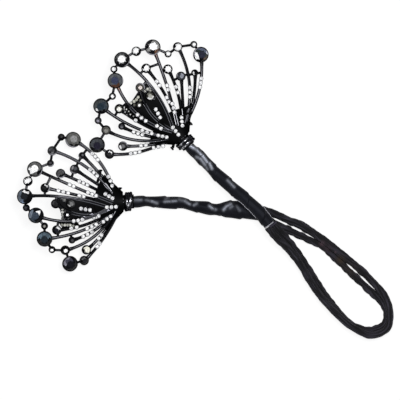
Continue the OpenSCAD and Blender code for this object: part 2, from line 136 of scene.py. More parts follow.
def black_metal(name, polished_hex, stain_and_highlight_hex, rough_from, rough_to):
    material, tree = new_material(name)
    place = (add(tree, "ShaderNodeTexCoord"), "Object")
    grain = add(tree, "ShaderNodeTexNoise", {"Scale": 1 / (CAST_GRAIN * MM), "Detail": 3}, {"Vector": place})
    blotch = add(tree, "ShaderNodeTexNoise", {"Scale": 1 / (BLOTCH * MM), "Detail": 2}, {"Vector": place})
    finish = (add(tree, "ShaderNodeAttribute", {"attribute_name": "finish"}), "Fac")
    as_cast = add(
        tree, "ShaderNodeMapRange", {"From Min": -1, "From Max": 0, "To Min": 1, "To Max": 0},
        {"Value": finish},
    )
    base = add(
        tree, "ShaderNodeMix", {"data_type": "RGBA", 6: linear(polished_hex), 7: linear(CAST_COLOUR)},
        {0: (as_cast, "Result")},
    )
    tint = add(tree, "ShaderNodeMix", {"data_type": "RGBA", 7: linear(stain_and_highlight_hex)}, {0: finish, 6: (base, 2)})
    shine = add(
        tree, "ShaderNodeMapRange", {"To Min": rough_from, "To Max": rough_to}, {"Value": (blotch, "Fac")},
    )
    rough = add(
        tree, "ShaderNodeMath", {"operation": "MULTIPLY_ADD", 1: CAST_ROUGHNESS},
        {0: (as_cast, "Result"), 2: (shine, "Result")},
    )
    relief = add(tree, "ShaderNodeBump", {"Strength": 0.3, "Distance": 0.03 * MM}, {"Height": (grain, "Fac")})
    metal = add(
        tree, "ShaderNodeBsdfPrincipled", {"Metallic": 1.0, "Specular Tint": linear("#3c3c40")},
        {"Base Color": (tint, 2), "Roughness": (rough, "Value"), "Normal": (relief, "Normal")},
    )
    add(tree, "ShaderNodeOutputMaterial", {}, {"Surface": (metal, "BSDF")})
    return material


plated = black_metal("black_plated_zinc_alloy", "#323235", "#5c3d2c", 0.1, 0.2)
highlit_plating = black_metal("black_plating_with_painted_highlight", "#c2c2c8", "#5c3d2c", 0.12, 0.2)
# Its bare steel, where the finish amount is 1, paints in the highlights on the turns
enamelled = black_metal("black_enamelled_steel_wire", "#38383c", "#c4c4c8", 0.06, 0.1)
print("casting grain", CAST_GRAIN, "mm")

# %% [markdown]
# ## Cut glass
# The stones are pressed glass on foil. Each facet sends back another part of the room, so side by side one
# facet is white, one grey and one nearly black. No soft light gives that by itself on a small stone, so the
# mesh carries a colour for each facet, with the stone's own tone and a painted reflection in it, and the
# shader lays glass over it. A fine cloud of half a millimetre keeps the painted facets from looking flat.

# %% Glass
FOIL_CLOUD = 0.5

foiled_glass, tree = new_material("pressed_glass_on_foil")
place = (add(tree, "ShaderNodeTexCoord"), "Object")
# The facet colour holds the stone's own tone and a painted reflection
facet = add(tree, "ShaderNodeAttribute", {"attribute_name": "facet"})
cloud = add(tree, "ShaderNodeTexNoise", {"Scale": 1 / (FOIL_CLOUD * MM), "Detail": 1}, {"Vector": place})
depth = add(
    tree, "ShaderNodeMapRange", {"From Min": 0.3, "From Max": 0.7, "To Min": 0.6, "To Max": 1.25},
    {"Value": (cloud, "Fac")},
)
facet_tone_and_reflection = add(
    tree, "ShaderNodeVectorMath", {"operation": "SCALE"}, {0: (facet, "Color"), "Scale": (depth, "Result")},
)
glass = add(
    tree, "ShaderNodeBsdfPrincipled", {"Roughness": 0.12, "IOR": 1.5, "Specular IOR Level": 0.12},
    {"Base Color": (facet_tone_and_reflection, "Vector")},
)
add(tree, "ShaderNodeOutputMaterial", {}, {"Surface": (glass, "BSDF")})
print("foil cloud", FOIL_CLOUD, "mm")

# %% [markdown]
# ## Satin ribbon
# Satin floats long threads over the weave, all in one direction, so it is smooth and shows soft bluish
# highlights that stretch along the folds. The threads lie 0.25 mm apart here, coarser than silk, because
# a finer pitch would be lost in the picture. They run along the band, which the uv map follows. Where the
# ribbon is pulled flat over a fold, it is smoother and glossier, and a painted highlight makes it much
# lighter.

# %% Ribbon
SATIN_THREAD = 0.25
# How much slower the threads change along the band than across it
FLOAT_STRETCH = 0.06

satin, tree = new_material("black_satin_ribbon")
strand = (add(tree, "ShaderNodeUVMap", {"uv_map": "strand"}), "UV")
pull = add(
    tree, "ShaderNodeMapping", {"Scale": (FLOAT_STRETCH / SATIN_THREAD, 1 / SATIN_THREAD, 1)},
    {"Vector": strand},
)
threads = add(tree, "ShaderNodeTexNoise", {"Scale": 1, "Detail": 3}, {"Vector": (pull, "Vector")})
worn = add(tree, "ShaderNodeTexNoise", {"Scale": 0.22, "Detail": 2}, {"Vector": strand})
smooth = (add(tree, "ShaderNodeAttribute", {"attribute_name": "smooth"}), "Fac")
dye = add(
    tree, "ShaderNodeMix", {"data_type": "RGBA", 6: linear("#09090c"), 7: linear("#131318")},
    {0: (worn, "Fac")},
)
# The smooth amount also lightens the dye towards pale grey, a painted highlight
dye_with_painted_highlight = add(tree, "ShaderNodeMix", {"data_type": "RGBA", 7: linear("#85888f")}, {0: smooth, 6: (dye, 2)})
gloss, mirror, flatter = [
    add(tree, "ShaderNodeMapRange", {"To Min": low, "To Max": high}, {"Value": smooth})
    for low, high in ((0.55, 0.24), (0.13, 0.8), (0.15, 0.04))
]
relief = add(
    tree, "ShaderNodeBump", {"Distance": 0.05 * MM},
    {"Strength": (flatter, "Result"), "Height": (threads, "Fac")},
)
ribbon = add(
    tree, "ShaderNodeBsdfPrincipled",
    {"IOR": 1.5, "Specular Tint": linear("#d4dbf0"), "Sheen Weight": 0.03, "Sheen Roughness": 0.4},
    {
        "Base Color": (dye_with_painted_highlight, 2), "Roughness": (gloss, "Result"), "Specular IOR Level": (mirror, "Result"),
        "Normal": (relief, "Normal"),
    },
)
add(tree, "ShaderNodeOutputMaterial", {}, {"Surface": (ribbon, "BSDF")})
print("satin threads", SATIN_THREAD, "mm apart")

# %% [markdown]
# ## Matte cloth
# The loop is covered in a matte black brushed cotton. Its short nap scatters light, so it never shines,
# and its black turns a little towards brown and purple in places. An amount painted on the mesh says
# where: above 0 it is brown and below 0 purple. Wear has drawn pale streaks along the strips. The rib of
# the weave is 0.5 mm, crossed by finer threads.

# %% Cloth
RIB = 0.5
CROSS_THREAD = 0.8 * RIB
# How far the weave stands out beside the nap
WEAVE_SHARE = 0.35

cloth, tree = new_material("black_brushed_cotton")
strand = (add(tree, "ShaderNodeUVMap", {"uv_map": "strand"}), "UV")
apart = add(tree, "ShaderNodeSeparateXYZ", {}, {0: strand})
ribs = []
for axis, pitch in (("X", RIB), ("Y", CROSS_THREAD)):
    turn = add(tree, "ShaderNodeMath", {"operation": "MULTIPLY", 1: 2 * math.pi / pitch}, {0: (apart, axis)})
    ribs.append((add(tree, "ShaderNodeMath", {"operation": "SINE"}, {0: (turn, "Value")}), "Value"))
weave = add(tree, "ShaderNodeMath", {"operation": "MULTIPLY"}, {0: ribs[0], 1: ribs[1]})
nap = add(tree, "ShaderNodeTexNoise", {"Scale": 2.6, "Detail": 4}, {"Vector": strand})
height = add(
    tree, "ShaderNodeMath", {"operation": "MULTIPLY_ADD", 1: WEAVE_SHARE},
    {0: (weave, "Value"), 2: (nap, "Fac")},
)
fade = add(tree, "ShaderNodeTexNoise", {"Scale": 0.16, "Detail": 3}, {"Vector": strand})
dye = add(
    tree, "ShaderNodeMix", {"data_type": "RGBA", 6: linear("#060607"), 7: linear("#121114")},
    {0: (fade, "Fac")},
)
drawn_out = add(tree, "ShaderNodeMapping", {"Scale": (0.11, 1.15, 1)}, {"Vector": strand})
streak = add(tree, "ShaderNodeTexNoise", {"Scale": 1, "Detail": 2.5}, {"Vector": (drawn_out, "Vector")})
streaks = add(
    tree, "ShaderNodeMapRange", {"From Min": 0.47, "From Max": 0.68, "To Max": 0.85},
    {"Value": (streak, "Fac")},
)
patch = (add(tree, "ShaderNodeAttribute", {"attribute_name": "tinted"}), "Fac")
other_way = add(tree, "ShaderNodeMath", {"operation": "MULTIPLY", 1: -1}, {0: patch})
# Each of these shares mixes its colour into the one before
for share, tone in (((streaks, "Result"), "#33313a"), (patch, "#33291f"), ((other_way, "Value"), "#4a3a42")):
    dye = add(tree, "ShaderNodeMix", {"data_type": "RGBA", 7: linear(tone)}, {0: share, 6: (dye, 2)})
relief = add(tree, "ShaderNodeBump", {"Strength": 0.7, "Distance": 0.12 * MM}, {"Height": (height, "Value")})
cotton = add(
    tree, "ShaderNodeBsdfPrincipled",
    {
        "Roughness": 0.95, "IOR": 1.35, "Sheen Weight": 0.06, "Sheen Roughness": 0.6,
        "Sheen Tint": linear("#8d8790"),
    },
    {"Base Color": (dye, 2), "Normal": (relief, "Normal")},
)
add(tree, "ShaderNodeOutputMaterial", {}, {"Surface": (cotton, "BSDF")})
print("cloth rib", RIB, "mm")

# %% [markdown]
# ## Points and skins
# Every piece here is swept or turned: a ring of points is carried along, and neighbouring rings are joined
# into a skin that is closed at both ends. One small gatherer collects the rings of a piece, with a painted
# amount and a uv place for each point, and makes one mesh of them.

# %% Gathering rings into a mesh
# Angles in degrees from which an edge between two faces is sharp
METAL_CREASE = 42
FACET_CREASE = 5
SOFT_CREASE = 70
# Steps from one row of a table to the next, before they are spaced evenly
CURVE_STEPS = 24


def new_clay():
    return {"points": [], "faces": [], "paint": [], "uv": [], "facet": []}


def add_rings(clay, rings, paint=0.0, uv=None):
    rings = np.asarray(rings, float)
    count, sides = rings.shape[:2]
    start = sum(len(block) for block in clay["points"])
    index = start + np.arange(count * sides).reshape(count, sides)
    ahead = np.roll(index, -1, axis=1)
    walls = np.stack([index[:-1], ahead[:-1], ahead[1:], index[1:]], axis=-1).reshape(-1, 4)
    clay["points"].append(rings.reshape(-1, 3))
    clay["faces"] += walls.tolist() + [index[0][::-1].tolist(), index[-1].tolist()]
    paint = np.broadcast_to(paint, (count * sides,)) if np.ndim(paint) < 2 else np.reshape(paint, -1)
    clay["paint"].append(paint)
    clay["uv"].append(np.zeros((count * sides, 2)) if uv is None else np.reshape(uv, (-1, 2)))


def make_piece(name, clay, material, stands_for=(), paint_name="finish", crease=METAL_CREASE):
    points = np.concatenate(clay["points"]) * MM
    mesh = bpy.data.meshes.new(name)
    mesh.from_pydata(points.tolist(), [], clay["faces"])
    mesh.materials.append(material)
    mesh.attributes.new(paint_name, "FLOAT", "POINT").data.foreach_set("value", np.concatenate(clay["paint"]))
    corners = np.empty(len(mesh.loops), int)
    mesh.loops.foreach_get("vertex_index", corners)
    mesh.uv_layers.new(name="strand").data.foreach_set("uv", np.concatenate(clay["uv"])[corners].ravel())
    if clay["facet"]:
        sides = [len(face) for face in clay["faces"]]
        colours = mesh.attributes.new("facet", "FLOAT_COLOR", "CORNER")
        colours.data.foreach_set("color", np.repeat(clay["facet"], sides, axis=0).ravel())
    mesh.shade_smooth()
    mesh.set_sharp_from_angle(angle=math.radians(crease))
    piece = bpy.data.objects.new(name, mesh)
    bpy.context.scene.collection.objects.link(piece)
    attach(piece, "root")
    if stands_for:
        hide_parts(*stands_for)
    print(name, "faces", len(mesh.polygons))
    return piece


# %% Directions, and tubes along a path
def unit(v):
    return v / np.linalg.norm(v, axis=-1, keepdims=True)


def headings(path):
    steps = np.vstack([path[1] - path[0], path[2:] - path[:-2], path[-1] - path[-2]])
    return unit(steps)


def left_of(heading):
    level = np.stack([-heading[:, 1], heading[:, 0], np.zeros(len(heading))], axis=1)
    return unit(level)


def full_turn(count):
    return np.linspace(0, 2 * math.pi, count, endpoint=False)


def spokes(side, up, count):
    """Directions from each place of a path to the points of the ring round it."""
    a = full_turn(count)
    return np.cos(a)[None, :, None] * side[:, None] + np.sin(a)[None, :, None] * up[:, None]


def tube(clay, path, radius, sides, paint=0.0):
    path = np.asarray(path, float)
    ahead = headings(path)
    side = left_of(ahead)
    up = np.cross(ahead, side)
    r = np.broadcast_to(radius, (len(path),))[:, None, None]
    add_rings(clay, path[:, None] + r * spokes(side, up, sides), paint)


# %% Distances, and curves through a table
def near_segment(points, x1, y1, x2, y2):
    """Distance, seen from above, from each point to a straight line between two places."""
    start = np.array([x1, y1])
    along = np.array([x2, y2]) - start
    share = np.clip((points[..., :2] - start) @ along / (along @ along), 0, 1)
    return np.linalg.norm(points[..., :2] - start - share[..., None] * along, axis=-1)


def nearness(points, x, y, reach, power=2):
    """1 at a place, seen from above, and nearly 0 beyond its reach."""
    return np.exp(-(np.hypot(points[..., 0] - x, points[..., 1] - y) / reach) ** power)


def smooth_rows(rows, steps):
    """A smooth curve through the rows of a table, with so many steps from one row to the next."""
    rows = np.array(rows, float)
    padded = np.vstack([rows[0], rows, rows[-1]])
    t = np.linspace(0, 1, steps, endpoint=False)[:, None]
    spans = []
    for a, b, c, d in zip(padded, padded[1:], padded[2:], padded[3:]):
        bend = (2 * a - 5 * b + 4 * c - d) * t**2 + (3 * b - a - 3 * c + d) * t**3
        spans.append(0.5 * (2 * b + (c - a) * t + bend))
    return np.vstack(spans + [rows[-1]])


def even_rows(rows, spacing, columns):
    """Rows at an even spacing along the curve through a table, with the length run up to each."""
    fine = smooth_rows(rows, CURVE_STEPS)
    run = np.concatenate([[0], np.cumsum(np.linalg.norm(np.diff(fine[:, :columns], axis=0), axis=1))])
    even = np.linspace(0, run[-1], int(run[-1] / spacing) + 1)
    return np.stack([np.interp(even, run, column) for column in fine.T], axis=1), even


# %% [markdown]
# ## The shape of a fan
# Both ends are castings of one kind. Their stems rise from the neck over a dome, like the ribs of an
# umbrella, and the settings lean with the dome's slope. These sizes and tables are the ones that the solids
# are made from, in millimetres, in the fan's own frame with its neck at the origin.

# %% Sizes and tables of the fans
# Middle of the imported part's outline, which the frame puts at the origin
MIDDLE = np.array([-0.02, 0.11, 0])
# Place of each neck and the direction in which its fan opens, in degrees
NECKS = {"upper": ((-9.8, 23.3), 131), "lower": ((-38.3, -6.3), 182)}
NECK_H = 4.85
DOME_H = 15
EDGE_H = 3.2
CROWN_REACH = 38
HALF_FAN = 52
TIP_DROP = 1.6
LEAN_SHARE = 0.6
LEAN_H = 1.6
STEM_R = 0.8
LINK_R = 0.6
ROOT_OUT = 7
LAYER_DROP = 1.7

BIG, MEDIUM, SMALL = 0, 1, 2
STONE_D = (7.1, 4.0, 2.8)
STONE_R = (3.43, 1.85, 1.21)
GIRDLE_T = (0.9, 0.7, 0.5)
CROWN_T = (1.3, 0.9, 0.6)
TABLE_SHARE = 0.55
STONE_GAP = 0.1
CUP_GAP = 0.4
CUP_BASE = (1.7, 1.6, 1.5)
CUP_DEPTH = (0.9, 0.7, 0.5)
CUP_SIDES = (32, 24, 18)

RIM_SIZE = (
    MEDIUM, BIG, MEDIUM, SMALL, BIG, SMALL, BIG, SMALL, BIG, MEDIUM, BIG, SMALL, MEDIUM, SMALL, BIG,
)
INNER_SIZE = (MEDIUM, SMALL, MEDIUM, MEDIUM, MEDIUM, MEDIUM, MEDIUM, SMALL)
INNER_LINKS = ((1, 4), (2, 4), (2, 6), (3, 8), (4, 8), (4, 10), (5, 10), (6, 12), (7, 12), (7, 14))
NEIGHBOUR_LINKS = ((6, 5),)
PLATE_STEMS = (6, 8)
PLATE_FROM = 0.12
PLATE_TO = 0.65
BAR_AT = 0.65
PLATE_T = 1.0
PLATE_DROP = 0.9
PLATE_SINK = 0.3
PLATE_SETTINGS = {
    "upper": ((29.2, -1.9, MEDIUM), (29.4, 5.2, SMALL)),
    "lower": ((28.7, 0.2, MEDIUM), (30.9, 5.6, SMALL)),
}

# Columns of the root: distance from the neck, half width, share of the dome's shape, how far its sides lie
# behind its middle, and its share of the full thickness
ROOT_SECTIONS = ((2.6, 5.0, 0.2, 0, 1), (8.5, 9.3, 0.95, 1.6, 1), (17.0, 14.0, 1, 5.5, 0.8))
ROOT_TOP = 0.45
ROOT_BOTTOM = 2.0
ROOT_FINE = 8
print("stones measure", STONE_D, "mm across")

# %% Rim and inner stems
# Columns: distance along the fan's axis and across it, sideways bow of the stem, its place across the root
RIM = {
    "upper": (
        (20.5, 32.5, 2.0, 8.3), (28.0, 34.2, 0, 0), (30.6, 26.0, 3.1, 4.6), (36.8, 25.9, 0, 0),
        (41.3, 20.0, 2.6, 4.3), (41.3, 12.5, 0, 0), (46.2, 6.2, 5.5, 0.6), (51.1, 3.0, 0, 0),
        (52.0, -3.2, -4.2, 1.2), (50.5, -11.4, 0, 0), (46.6, -18.9, -1.0, -1.5), (39.0, -22.6, 0, 0),
        (38.5, -28.5, -4.3, -5.3), (34.1, -35.4, 0, 0), (28.0, -34.7, -3.3, -5.2),
    ),
    "lower": (
        (23.0, 28.8, 1.1, 8.2), (30.2, 30.1, 0, 0), (32.3, 23.3, 3.6, 4.2), (38.9, 22.8, 0, 0),
        (42.5, 17.2, 2.7, 5.2), (42.3, 10.8, 0, 0), (46.4, 5.3, 5.5, 0.9), (51.2, 1.3, 0, 0),
        (51.7, -4.4, -2.6, 3.7), (49.9, -12.0, 0, 0), (46.1, -17.9, 0.4, 0.6), (38.2, -20.6, 0, 0),
        (37.1, -26.8, -3.5, -2.7), (32.3, -33.5, 0, 0), (26.5, -32.0, -3.9, -3.8),
    ),
}
INNER = {
    "upper": (
        (19.1, 24.8, 0.6, 8.2), (26.8, 18.9, 1.1, 5.7), (34.3, 14.0, 1.2, 3.6), (35.4, -0.9, 4.3, -0.4),
        (40.8, -9.5, -2.1, -1.8), (33.3, -17.5, -1.9, -3.8), (26.3, -20.1, -0.1, -5.0),
        (23.0, -26.5, -1.0, -7.8),
    ),
    "lower": (
        (21.7, 23.5, 0.8, 7.3), (28.7, 18.4, 1.9, 5.1), (36.2, 13.0, 2.2, 3.8), (36.3, -0.2, 5.2, 2.0),
        (41.3, -8.3, -0.2, 1.3), (33.3, -15.3, -0.4, -1.6), (26.2, -17.2, 0.2, -3.8),
        (22.2, -24.0, -0.2, -6.1),
    ),
}
STEMS = {"rim": RIM, "inner": INNER}
print("stems", {end: len(RIM[end]) + len(INNER[end]) for end in NECKS})

# %% Dome, stems and lean
def dome(along, across):
    s = np.hypot(along, across) / CROWN_REACH
    turn = np.minimum(np.abs(np.degrees(np.arctan2(across, along))) / HALF_FAN, 1)
    crown = EDGE_H + (DOME_H - EDGE_H) * np.cos(np.radians(90 * turn))
    rise = np.where(s < 1, np.sin(np.radians(90 * np.minimum(s, 1))), 1 - TIP_DROP * (s - 1) ** 2)
    return NECK_H + (crown - NECK_H) * rise


def on_dome(along, across):
    return np.stack([along, across, dome(along, across)], axis=-1)


def stem_points(row, t, drop=0.0):
    """Places on a stem, from 0 at the root to 1 at its setting, let down by drop at the root."""
    t = np.atleast_1d(np.asarray(t, float))
    along, across, bow, root = row
    chord = np.array([along - ROOT_OUT, across - root])
    sideways = np.array([-chord[1], chord[0]]) / np.hypot(*chord)
    flat = np.array([ROOT_OUT, root]) + t[:, None] * chord + (4 * t * (1 - t) * bow)[:, None] * sideways
    points = on_dome(flat[:, 0], flat[:, 1])
    points[:, 2] -= drop * (1 - t * t)
    return points


def lean(along, across, share=LEAN_SHARE):
    """The dome's slope at a place, as the two angles that a setting leans by."""
    step = 0.5
    by_along = (dome(along + step, across) - dome(along - step, across)) / (2 * step)
    by_across = (dome(along, across + step) - dome(along, across - step)) / (2 * step)
    return share * math.atan(by_across), -share * math.atan(by_along)


def leaned(points, angles):
    about_x, about_y = angles
    cx, sx, cy, sy = math.cos(about_x), math.sin(about_x), math.cos(about_y), math.sin(about_y)
    rx = np.array([[1, 0, 0], [0, cx, -sx], [0, sx, cx]])
    ry = np.array([[cy, 0, sy], [0, 1, 0], [-sy, 0, cy]])
    return np.asarray(points) @ (ry @ rx).T


def fan_turn(end):
    aim = math.radians(NECKS[end][1])
    c, s = math.cos(aim), math.sin(aim)
    return np.array([[c, -s, 0], [s, c, 0], [0, 0, 1]])


def at_end(end, clay):
    """Carries a fan's points from its own frame to where the fan lies."""
    x, y = NECKS[end][0]
    clay["points"] = [block @ fan_turn(end).T + ([x, y, 0] - MIDDLE) for block in clay["points"]]
    return clay


def to_fan(end, place):
    """A place on the floor, as its distance along the fan's axis and across it."""
    return (np.array(place) - NECKS[end][0]) @ fan_turn(end)[:2, :2]


print("dome height at its crown", round(float(dome(CROWN_REACH, 0)), 1), "mm")

# %% [markdown]
# ## Turned cups and cut seeds
# A setting cup is a shallow bowl with a thin rounded lip that holds the stone. It is a turned form, so a
# short profile spun round is the natural way to make it. The tiny seed stones are 2 mm glass domes with a
# table, six main facets and a small cup each, and they sit on the stems in twos and threes.

# %% Cups and seeds
# Room round a stone in its cup
CUP_FIT = 0.06


def lathe(profile, sides):
    return np.array([[(r * math.cos(t), r * math.sin(t), z) for t in full_turn(sides)] for r, z in profile])


def cup_profile(size):
    """Radius and height up the outside of a cup, over its lip and down to where the stone sits."""
    outer = STONE_D[size] / 2 + CUP_GAP
    hole = STONE_R[size] + CUP_FIT
    low, seat = -CUP_BASE[size] / 2, CUP_BASE[size] / 2
    top = seat + CUP_DEPTH[size]
    lip = outer - hole
    return [
        (0.55 * outer, low), (0.72 * outer, low + 0.12), (0.86 * outer, low + 0.45),
        (0.97 * outer, seat - 0.45), (outer, seat), (outer, top - 0.2), (outer - 0.25 * lip, top),
        (hole + 0.25 * lip, top + 0.03), (hole, top - 0.1), (hole, seat - 0.15),
    ]


SEED_R = 1.0
# Height of a seed's cup over the middle of the stem that carries it
SEED_SEAT = STEM_R - 0.1
SEED_CUP = (
    (0.5, -0.1), (0.95, 0.15), (SEED_R + 0.12, 0.42), (SEED_R + 0.1, 0.62), (SEED_R - 0.02, 0.62), (0.7, 0.4),
)
SEED_CUP_SIDES = 10


def in_setting(points, row):
    """Points of a cup or stone, leaned with the dome about a point a little above the cup's base."""
    pivot = np.array([0, 0, LEAN_H])
    return leaned(points - pivot, lean(row[0], row[1])) + on_dome(row[0], row[1]) + pivot


def on_plate(points, row):
    """The same for a setting on the plate, which leans along the fan only."""
    seat = on_dome(row[0], row[1]) - [0, 0, PLATE_DROP - PLATE_T / 2 + PLATE_SINK]
    return leaned(points, (0, lean(row[0], row[1], 1)[1])) + seat


def on_stem(points, place, height):
    """Points of a seed or its cup, leaned with the dome, at a height over a place on a stem."""
    return leaned(points, lean(place[0], place[1])) + (place + [0, 0, height])


def settings_of(end):
    """Kind, number and size of each setting, with the function that carries points to it and its row."""
    for kind, sizes in (("rim", RIM_SIZE), ("inner", INNER_SIZE)):
        for number, (row, size) in enumerate(zip(STEMS[kind][end], sizes), 1):
            yield kind, number, size, in_setting, row
    for number, row in enumerate(PLATE_SETTINGS[end], 1):
        yield "plate", number, row[2], on_plate, row


print("seed stones measure", 2 * SEED_R, "mm across")

# %% Where seeds and crystals sit
# Columns: which stem, where its first and last seed sit on it, how many there are
SEED_ROWS = {
    "upper": (
        ("rim", 1, 0.46, 0.62, 3), ("inner", 1, 0.44, 0.56, 2), ("inner", 2, 0.54, 0.73, 3),
        ("rim", 5, 0.04, 0.15, 3), ("rim", 5, 0.24, 0.37, 3), ("inner", 3, 0.66, 0.66, 1),
        ("rim", 7, 0.38, 0.51, 3), ("inner", 5, 0.42, 0.49, 2), ("inner", 5, 0.69, 0.76, 2),
        ("rim", 11, 0.21, 0.31, 3), ("rim", 11, 0.48, 0.53, 2), ("inner", 6, 0.58, 0.68, 2),
        ("rim", 13, 0.35, 0.47, 3), ("rim", 15, 0.56, 0.68, 3),
    ),
    "lower": (
        ("rim", 1, 0.56, 0.64, 2), ("inner", 1, 0.52, 0.62, 2), ("inner", 2, 0.59, 0.78, 3),
        ("rim", 5, 0.29, 0.42, 3), ("inner", 3, 0.68, 0.77, 2), ("rim", 7, 0.43, 0.54, 3),
        ("inner", 5, 0.45, 0.51, 2), ("inner", 5, 0.67, 0.81, 3), ("rim", 11, 0.23, 0.33, 3),
        ("rim", 11, 0.51, 0.56, 2), ("inner", 6, 0.51, 0.66, 3), ("rim", 13, 0.34, 0.46, 3),
        ("rim", 15, 0.12, 0.26, 3), ("rim", 15, 0.55, 0.67, 3),
    ),
}
# Rows on the root, on the plate and along the outermost stem. Columns: first seed along and across, last
# seed along and across, how many there are
ROOT_SEEDS = {
    "upper": ((9.8, -0.2, 5.3, 0.1, 3), (10.8, -6.6, 7.4, -4.3, 3), (15.6, 5.3, 13.4, 4.6, 2)),
    "lower": (
        (10.9, 2.4, 6.4, 2.3, 3), (11.5, -4.1, 8.0, -1.9, 3), (13.0, 9.6, 9.2, 7.0, 3),
        (17.6, 7.2, 15.2, 6.6, 2),
    ),
}
PLATE_SEEDS = {"upper": ((22.2, 0.3, 17.7, 1.3, 3),), "lower": ((23.8, 2.6, 19.4, 3.5, 3),)}
EDGE_SEEDS = {"upper": ((8.5, 13.7, 6.0, 9.6, 3),), "lower": ()}
# Single crystals near the plate's outer end. Columns: along, across, radius, colour with the crystal's
# painted reflection in it
PLATE_CRYSTALS = {
    "upper": (
        (32.6, 7.6, 0.8, "#d2d2ca"), (32.3, 6.0, 0.8, "#cacabe"), (32.2, 4.5, 0.8, "#b4b4a6"),
        (32.5, 3.0, 0.75, "#c4c4b8"), (30.8, 6.9, 0.7, "#5c5b52"), (30.7, 3.2, 0.7, "#77766a"),
        (32.6, -1.6, 0.75, "#8e8e86"), (32.5, -3.2, 0.75, "#bcbcb2"), (32.2, -4.7, 0.7, "#9c9c96"),
        (31.0, -3.6, 0.75, "#a2a298"), (27.2, -2.6, 0.7, "#4a4a44"),
    ),
    "lower": (
        (33.0, 2.7, 0.7, "#a8a8a0"), (33.1, 4.2, 0.7, "#cfcfca"), (33.2, 5.7, 0.7, "#9a9a94"),
        (33.2, 7.2, 0.7, "#6e6e6a"), (31.8, 3.6, 0.6, "#4c4c4a"), (31.8, 7.2, 0.6, "#3c3c3a"),
        (31.9, -1.9, 0.8, "#6a6a66"), (33.0, -2.8, 0.7, "#3f3f3e"), (30.2, 7.1, 0.6, "#5f5f5c"),
    ),
}
# Single crystals on the web beside the plate, with the same columns and painted reflections
WEB_CRYSTALS = {
    "upper": (
        (31.2, 12.8, 0.45, "#b9b9b9"), (29.6, 13.0, 0.4, "#8c8c8c"), (31.8, 11.4, 0.45, "#d8d8d4"),
        (30.3, 11.2, 0.45, "#a6a6a2"), (28.6, 11.6, 0.45, "#c8c8c4"), (26.9, 11.0, 0.4, "#8c8c8c"),
    ),
    "lower": (
        (33.6, 10.5, 0.75, "#8e8e86"), (32.2, 10.6, 0.75, "#c2c2ba"), (30.8, 10.6, 0.75, "#b4b4ac"),
        (29.4, 10.7, 0.75, "#bcbcb4"), (28.0, 11.1, 0.7, "#9a9a94"),
    ),
}
print("single crystals", {end: len(PLATE_CRYSTALS[end]) + len(WEB_CRYSTALS[end]) for end in NECKS})

# %% Heights over root, plate and web
def root_top(along, across):
    """Height of the root's upper side at a place."""
    out, half, share, back, thick = smooth_rows(ROOT_SECTIONS, ROOT_FINE).T
    c = np.clip(across / half, -1, 1)
    x = out - back * c**2
    rise = np.sqrt(1 - c**2)
    on_top = dome(x, across) + ROOT_TOP * thick * np.minimum(1, 2 * rise)
    return float(np.interp(along, x, share * on_top + (1 - share) * (NECK_H + half * rise)))


def over_root(points, sunk=STEM_R):
    """Places that the root would bury, lifted until they lie only this deep in it."""
    end_out, end_half, _, end_back, _ = ROOT_SECTIONS[-1]
    lifted = []
    for along, across, height in points:
        if along < end_out - end_back * (across / end_half) ** 2:
            height = max(height, root_top(along, across) - sunk)
        lifted.append(np.array([along, across, height]))
    return lifted


def above_dome(along, across, height):
    return np.array([along, across, float(dome(along, across)) + height])


def on_root(along, across):
    return np.array([along, across, root_top(along, across) - STEM_R])


def on_plate_top(along, across):
    return above_dome(along, across, PLATE_T / 2 - PLATE_DROP - STEM_R)


def on_web(along, across):
    return above_dome(along, across, -STEM_R)


def single_crystals(end):
    """Place, radius and colour of the crystals that sit one by one."""
    rows = [(on_plate_top(a, c), r, tone) for a, c, r, tone in PLATE_CRYSTALS[end]]
    return rows + [(on_web(a, c), r, tone) for a, c, r, tone in WEB_CRYSTALS[end]]


def seed_places(end):
    places = []
    for kind, number, first, last, count in SEED_ROWS[end]:
        row = STEMS[kind][end][number - 1]
        drop = 0 if kind == "rim" else LAYER_DROP
        places += over_root(stem_points(row, np.linspace(first, last, count), drop))
    for table, carry in ((ROOT_SEEDS, on_root), (PLATE_SEEDS, on_plate_top), (EDGE_SEEDS, on_web)):
        for a1, c1, a2, c2, count in table[end]:
            places += [carry(a, c) for a, c in zip(np.linspace(a1, a2, count), np.linspace(c1, c2, count))]
    return places


for end in NECKS:
    print(end, "seeds", len(seed_places(end)))

# %% [markdown]
# ## The metal of a fan
# Each fan's metal is one casting, so it is one piece: stems, links, cups, the small plate and the solid
# root where all stems run together. The stems carry on over the root as ribs and gather at the neck, and
# each one flares a little where it joins its cup.

# %% Metal helpers
STEM_SIDES = 12
STEM_STEPS = 26
LINK_SIDES = 10
LINK_STEPS = 9
BUNDLE_SIDES = 24
ROOT_SIDES = 64
RIB_SIDES = 8
# Places tried along a stem's outer half for the end of a link
LINK_TRIES = 40
BUNDLE_R = 2.3
BUNDLE_OUTER_R = 2.6
BUNDLE_AXIS = (-2.4, 0, 3.7)
BUNDLE_START = 1.4
# Over the root's half width, the stems spread to this share of the bundle's radius
BUNDLE_SHARE = 0.9
ROOT_HALF = 9
INNER_START_H = 0.2
ROOT_STEPS = 8
# A stem flares by this share of its radius at its setting, and then the square of the flare's length
FLARE = 0.25
FLARE_SOFT = 1.2
LINK_FLARE = 1.2
LINK_WAIST = 0.15
AS_CAST = -1.0
TARNISHED = {"upper": (6, 10), "lower": ()}
TARNISH_REACH = 4.2
# The tarnish is full up to 0.4 of its reach and then thins out
TARNISH_EDGE = 1.4


def stem_path(row, drop):
    """A stem from the bundle at the neck, over the root and out to its setting."""
    root = row[3]
    start_y = BUNDLE_R * BUNDLE_SHARE * root / ROOT_HALF
    start_z = NECK_H + (math.sqrt(BUNDLE_R**2 - start_y**2) if drop == 0 else INNER_START_H)
    outer = stem_points(row, np.linspace(0, 1, STEM_STEPS), drop)
    u = np.linspace(0, 1, ROOT_STEPS, endpoint=False)[:, None]
    start = np.array([BUNDLE_START, start_y, start_z])
    return np.vstack([start + u * (outer[0] - start), outer])


